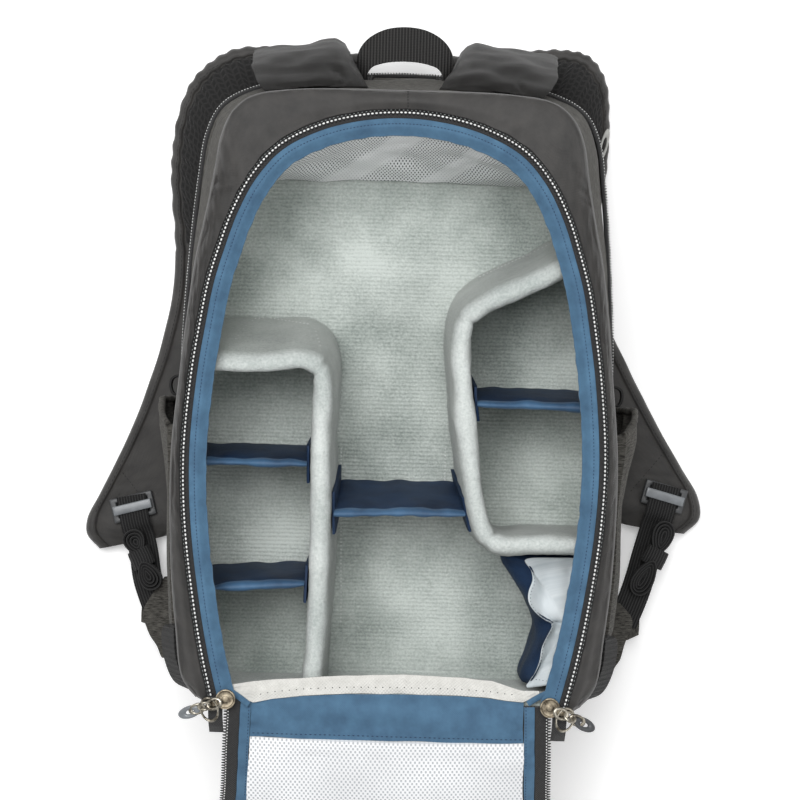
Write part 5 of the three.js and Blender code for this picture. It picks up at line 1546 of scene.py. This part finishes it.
handleRows = [
    ((-25, 206, 53), (-20.5, 206, 62)), ((-29, 216, 55), (-23.5, 212, 62.5)), ((-32.5, 227, 58), (-25, 218.5, 63.5)),
    ((-31, 235, 60), (-22, 223, 65)),
]
handleRows += [
    ((-25, 242.5, 62.5), (-17, 225, 66)), ((-14, 248.2, 65), (-9, 226.5, 67)), ((0, 250, 66.5), (0, 227, 67)),
]
handleRows += [((-far[0], *far[1:]), (-near[0], *near[1:])) for far, near in reversed(handleRows[:-1])]
small = {
    "webWidth": 20,
    "webThickness": 1.8,
    "bundleThickness": 9,
    "buckle": (30, 17, 4),
    "slot": (22, 3.7, 3.45),
    "bar": (27, 6.4, 2.2),
    "barHeight": 7.9,
    "post": 11.2,
    "pocketFloor": 24,
    "pocketTop": 112,
    "standoff": 11,
    "pocketWall": 2,
    "tab": 3,
    "tabHeight": 19.4,
    "tabRoot": (128, 48),
    "tabTip": (172, 146, 12),
    "wingTop": 27.2,
    "loopHigh": 114,
    "loopWidth": 23,
    "loopThickness": 2,
}


def grabHandle():
    loops = []
    for n, (far, near) in enumerate(handleRows):
        sewn = n in (0, len(handleRows) - 1)
        if sewn:
            far, near = ((x, topReach(bodyOutline(z), abs(x)) + gap * 2.2, z) for x, y, z in (far, near))
        thick = np.array((0, 2.16, 0.96)) if sewn else np.array((0, 0, harness["handleThickness"]))
        loops.append(slab(np.linspace(far, near, 13), thick))
    made = loft("grabHandleWeb", between(loops, 8), handleWeb)
    return settle(made, "webbing", "grab_handle")


webRows = {
    -1: [(182, 71, 17.4), (178, 91, 17.4), (175, 100, 13.4), (172, 111, 15.5), (168, 128, 23), (160, 150, 23)],
    1: [(189, 54, 17.4), (184.5, 74, 17.4), (182, 83, 13.4), (177, 100, 15), (169, 126, 23), (160, 150, 23)],
}
bundleRows = {
    -1: [
        (181, 96, 0.7), (180, 100, 1.12), (177, 106, 1.0), (174.5, 110, 0.62), (171, 117, 0.62), (168.5, 121, 1.0),
        (164, 129, 1.12), (162, 133, 0.7),
    ],
    1: [
        (189, 80, 0.7), (188, 85, 1.12), (185, 95, 1.0), (183, 100, 0.62), (179.5, 107, 0.62), (177, 112, 1.0),
        (171, 123, 1.12), (168, 128, 0.7),
    ],
}
buckleSpots = {-1: (180.5, 79, -15), 1: (187.5, 62, -15)}


def lowerWebbing(side):
    rows = webRows[side]
    path = between([(side * out, -down, high) for out, down, high in rows], 8)
    half = small["webWidth"] / 2
    lines = [[p + way * s for s in np.linspace(-half, half, 9)] for p, way in zip(path, sideways(path))]
    loops = [slab(line, (0, 0, small["webThickness"])) for line in lines]
    made = loft("lowerWebbing" + tags[side], loops, webbing)
    return settle(made, "webbing", "lower_webbing_" + names[side])


def bundleHeight(side, down):
    rows = [(row[1], row[2]) for row in webRows[side]]
    return lookUp(rows, down) + small["webThickness"] + 0.6 + small["bundleThickness"] / 2 * 1.12


def rolledWebbing(side):
    rows = bundleRows[side]
    for part, (first, last), toward in (("Upper", (0, 3), 1), ("Lower", (4, 7), -1)):
        a, b = (np.array((side * rows[n][0], -rows[n][1], 0)) for n in (first, last))
        middle, way = (a + b) / 2, normed(b - a)
        sideWay = np.array((-way[1], way[0], 0))
        z = bundleHeight(side, -middle[1])
        for turn, half in enumerate((8.2, 6.1, 4.0, 2.1)):
            long, high = np.linalg.norm(b - a) / 2 + 1.4 - 2.2 * turn, 4.3 - 0.35 * turn
            loops = []
            for angle in np.linspace(0, 2 * math.pi, 73)[:-1]:
                c, s = math.cos(angle), math.sin(angle)
                taper = 0.88 - 0.24 * c * toward
                p = middle + way * c * long + sideWay * s * half * taper + (0.25 * turn * toward, 0, z)
                out = normed(way * c / long + sideWay * s / half) * 1.65
                edge = [(0, 1, 0), (0.5, 1, 0.25), (1, 1, 0), (1, 0, 0), (1, -1, 0), (0, -1, 0), (0, 0, 0)]
                loops.append([p - out * into + (0, 0, high * up + more) for into, up, more in edge])
            made = loft("webbingCoil" + tags[side] + part + str(turn), loops + [loops[0]], webbing, capped=False)
            settle(made, "webbing", *(["webbing_roll_" + names[side]] if part == "Upper" and turn == 0 else []))
    a, b = (np.array((side * rows[n][0], -rows[n][1], 0)) for n in (3, 4))
    way = normed(b - a)
    across = np.array((-way[1], way[0], 0))
    loops = []
    for share, grow in [
        (-0.32, 1.1), (-0.32, 1.9), (-0.2, 2.3), (0.5, 2.45), (1.2, 2.3), (1.32, 1.9), (1.32, 1.1), (0.5, 1.0),
    ]:
        p = a + (b - a) * share
        z = bundleHeight(side, -p[1])
        ring = []
        for angle in np.linspace(0, 2 * math.pi, 33)[:-1]:
            c, s = math.cos(angle), math.sin(angle)
            wide, tall = (math.copysign(abs(v) ** 0.6, v) for v in (c, s))
            ring.append(p + across * (wide * (5.6 + grow)) + (0, 0, z + tall * (2.8 + grow)))
        loops.append(ring)
    made = loft("webbingWrap" + tags[side], loops + [loops[0]], webbing, capped=False)
    return settle(made, "webbing", "webbing_keeper_" + names[side])


def boxCut(size, height, cuts):
    box = startFrom(bpy.ops.mesh.primitive_cube_add, size=1, scale=size, location=(0, 0, height))
    for spot, normal in cuts:
        editAll()
        bpy.ops.mesh.bisect(plane_co=spot, plane_no=normal)
    return box


def ladderLock(side):
    out, down, turned = buckleSpots[side]
    half, slot, middle = small["slot"][0] / 2, small["slot"][1] / 2, small["slot"][2]
    angle = side * math.radians(turned)
    spot, way = (side * out, -down, harness["strap"] + gap), (math.cos(angle), math.sin(angle), 0)
    cuts = [((x, 0, 0), (1, 0, 0)) for x in (-half, half)]
    cuts += [((0, y, 0), (0, 1, 0)) for y in (-middle - slot, -middle + slot, middle - slot, middle + slot)]
    plate = boxCut(small["buckle"], small["buckle"][2] / 2, cuts)
    for row in (-middle, middle):
        pick(plate, lambda c, normal: abs(normal.z) > 0.9 and abs(c.x) < half and abs(c.y - row) < slot)
        bpy.ops.mesh.bridge_edge_loops()
    bevelled(plate, 0.9, 3, 40)
    polished(plate, "ladderLock" + tags[side], bucklePlastic)
    settle(placed(plate, spot, way, (0, 0, 1)), "buckle", "strap_buckle_" + names[side])
    post = small["post"]
    bar = boxCut(small["bar"], small["barHeight"], [((x, 0, 0), (1, 0, 0)) for x in (-post, post)])
    pick(bar, lambda c, normal: normal.z < -0.9 and abs(c.x) > post)
    bpy.ops.mesh.extrude_region_move(TRANSFORM_OT_translate={"value": (0, 0, -2.9)})
    bevelled(bar, 0.7, 3, 40)
    polished(bar, "buckleBar" + tags[side], paleBuckle)
    settle(placed(bar, spot, way, (0, 0, 1)), "buckle")


pocketRows = [(-166, 0.3), (-146, 0.6), (-110, 0.62), (-60, 0.5), (-35, 0.72), (-15, 1.05), (-4, 1.1)]


def sidePocket(side):
    heights = np.linspace(0, 1, 31)
    bow = np.sin(math.pi * (0.04 + 0.92 * heights)) ** 0.5
    sloping = 1 - 0.1 * np.clip((heights - 0.5) * 2, 0, 1) ** 1.3
    loops = []
    for up in np.linspace(-166, -4, 61):
        stand = lookUp(pocketRows, up) * small["standoff"] * (1.3 if side > 0 else 1)
        zs = small["pocketFloor"] + (small["pocketTop"] - small["pocketFloor"]) * heights
        ys = -166 + (up + 166) * sloping
        wall = np.array([reach(bodyOutline(z), y) for z, y in zip(zs, ys)])
        edge = (heights == 0) | (heights == 1)
        outside = wall + gap + small["pocketWall"] + stand * bow
        inside = wall + gap + np.where(edge, 0, np.maximum(stand * bow, 0.4))
        loops.append(
            (
                [(side * x, y, z) for x, y, z in zip(outside, ys, zs)]
                + [(side * x, y, z) for x, y, z in zip(inside[::-1], ys[::-1], zs[::-1])]
            ),
        )
    made = loft("sidePocket" + tags[side], loops, heather)
    crumple(made, 2.8, 20, 50 + side, lambda p: 0.4 + 0.6 * max(0, (p.y + 110) / 110), (1, 0.35, 1))
    settle(made, "heather", "side_pocket_" + names[side], fill=0.2)
    rim = np.array(loops[-1][:31]) + (side * -0.8, 0.4, 0)
    ways = normed(np.gradient(rim, axis=0))
    ring = []
    for p, way in zip(rim, ways):
        out = np.cross(way, (0, 1, 0))
        ring.append([
            p + 2.4 * (math.cos(a) * out + math.sin(a) * np.array((0, 1, 0)))
            for a in np.linspace(0, 2 * math.pi, 13)[:-1]
        ])
    hem = loft("pocketHem" + tags[side], ring, heather)
    crumple(hem, 0.9, 5, 60 + side)
    settle(hem, "heather")
    path = between([(0.6, 0, 0), (6.5, -1, 0), (9, 4, 0), (8, 9.5, 0), (4, 11.5, 0), (0.6, 10.5, 0)], 6)
    across = sideways(path) * 0.7
    loops = []
    for p, way in zip(path, across):
        wall = reach(bodyOutline(60), p[1] + 1) + gap
        loops.append([
            (side * (wall + q[0]), q[1] + 1, 55 + 10 * s)
            for q, s in ((p - way, 0), (p + way, 0), (p + way, 1), (p - way, 1))
        ])
    settle(loft("pocketLoop" + tags[side], loops, webbing), "webbing")


def sideTab(side):
    high, (start, span), (tipOut, tipDown, slant) = small["tabHeight"], small["tabRoot"], small["tabTip"]
    loops = []
    for share in np.linspace(0, 1, 12):
        low = []
        for s in np.linspace(0, 1, 9):
            y = -(start + span * s)
            root = np.array((side * (reach(bodyOutline(high + small["tab"]), y) + gap * 2), y, high))
            tip = np.array((side * tipOut, -tipDown - slant * s, high))
            low.append(root + (tip - root) * share)
        loops.append(slab(low, (0, 0, small["tab"])))
    made = loft("sideTab" + tags[side], loops, heather)
    crumple(made, 0.8, 9, 70 + side)
    return settle(made, "heather", "side_tab_" + names[side])


wingEdge = {
    -1: [(-184, 0), (-181.5, 156.4), (-170, 163), (-154, 171), (-149, 170.4), (-136, 163), (-125, 156), (-122, 0)],
}
wingEdge[1] = [
    (-187, 0), (-184, 153.6), (-175, 158.5), (-162, 163), (-149, 167.2), (-144, 165.4), (-135, 157.5), (-131, 0),
]


def wingCover(side):
    loops = []
    for y in np.linspace(wingEdge[side][0][0], wingEdge[side][-1][0], 49):
        root = reach(bodyOutline(27), y) + gap * 2 + (3.6 * min(1, (y + 166) / 5) if y > -166 else 0)
        far = max(lookUp(wingEdge[side], y), root + 1.2)
        low = 25.2 - 2.5 * np.clip((-y - 154) / 5, 0, 1)
        shares = np.linspace(0, 1, 17)
        under = [(side * (root + (far - root) * s), y, low) for s in shares]
        loops.append(slab(under, rising(small["wingTop"] - 0.8 * shares**6 - low)))
    made = loft("wingCover" + tags[side], loops, heather)
    crumple(made, 1.3, 10, 80 + side)
    return settle(made, "heather")


loopRows = [(149, 1.6), (150, 7), (153, 9.4), (170, 10.6), (186, 11.4), (190, 9.6), (191.5, 1.6)]


def sideLoop(side):
    loops = []
    for down, off in loopRows:
        upper = small["loopHigh"] + small["loopWidth"]
        top = reach(bodyOutline(upper), -down) + gap
        low = reach(bodyOutline(small["loopHigh"]), -down) + gap
        thick = small["loopThickness"]
        outside = np.linspace((low + off + thick, small["loopHigh"]), (top + off * 0.12 + thick, upper), 9)
        inside = np.linspace((top + off * 0.12, upper), (low + off - thick * 0.4, small["loopHigh"]), 9)
        loops.append([(side * x, -down, z) for x, z in np.concatenate([outside, inside])])
    made = loft("sideLoop" + tags[side], between(loops, 10), loopWeb)
    return settle(made, "webbing", "side_loop_" + names[side])


laptopZipRows = [(-0.4, -4.5), (-1.6, -4.5), (-2.6, -3.6), (-3.0, 0), (-2.6, 3.6), (-1.6, 4.5), (-0.4, 4.5)]
laptopCord = {"size": (16.4, 3.8), "wire": 0.7, "y": 178, "way": (3.6, 16.4, 0)}


def laptopZip():
    zMiddle = bag["padDepth"] + bag["laptopDepth"] * 0.7
    path = back[back[:, 1] > 15]
    section = [(into, zMiddle + z) for into, z in laptopZipRows]
    settle(loft("laptopZipTape", rail(path, section), blackTape), "zip_tape", "laptop_zip")
    line = level(inset(path, -3.0, False), zMiddle)
    outward = inset(path, -1, False) - path
    places, ways, ups = steps(line, 1.9, outward)
    settle(copies("laptopZipTeeth", unitShape((1.3, 5, 2.6), 8, 5), places, ways, ups, coilPlastic), "zip_tape")
    # white dots along the laptop zip's upper edge: partly thread, partly a painted highlight on the coil's light edge
    upper = level(inset(path, -3.3, False), zMiddle + 2.6)
    stitchRow("laptopZipEdge", upper, 2.1, whiteThreadAndGlint, "zip_tape", size=(0.6, 0.6, 0.5))
    y = laptopCord["y"]
    spot = (reach(back, y) + 6.0, y, zMiddle + 1)
    cord = wireRing("laptopZipCord", laptopCord["size"], laptopCord["wire"], spot, laptopCord["way"], (0, 0, 1))
    cord.data.materials[0] = paleCord
    settle(cord, "zip_tape", "laptop_zip_pull")


grabHandle()
laptopZip()
for side in (-1, 1):
    lowerWebbing(side)
    rolledWebbing(side)
    ladderLock(side)
    sidePocket(side)
    sideTab(side)
    wingCover(side)
    sideLoop(side)
print("handle, webbing and pockets are in")
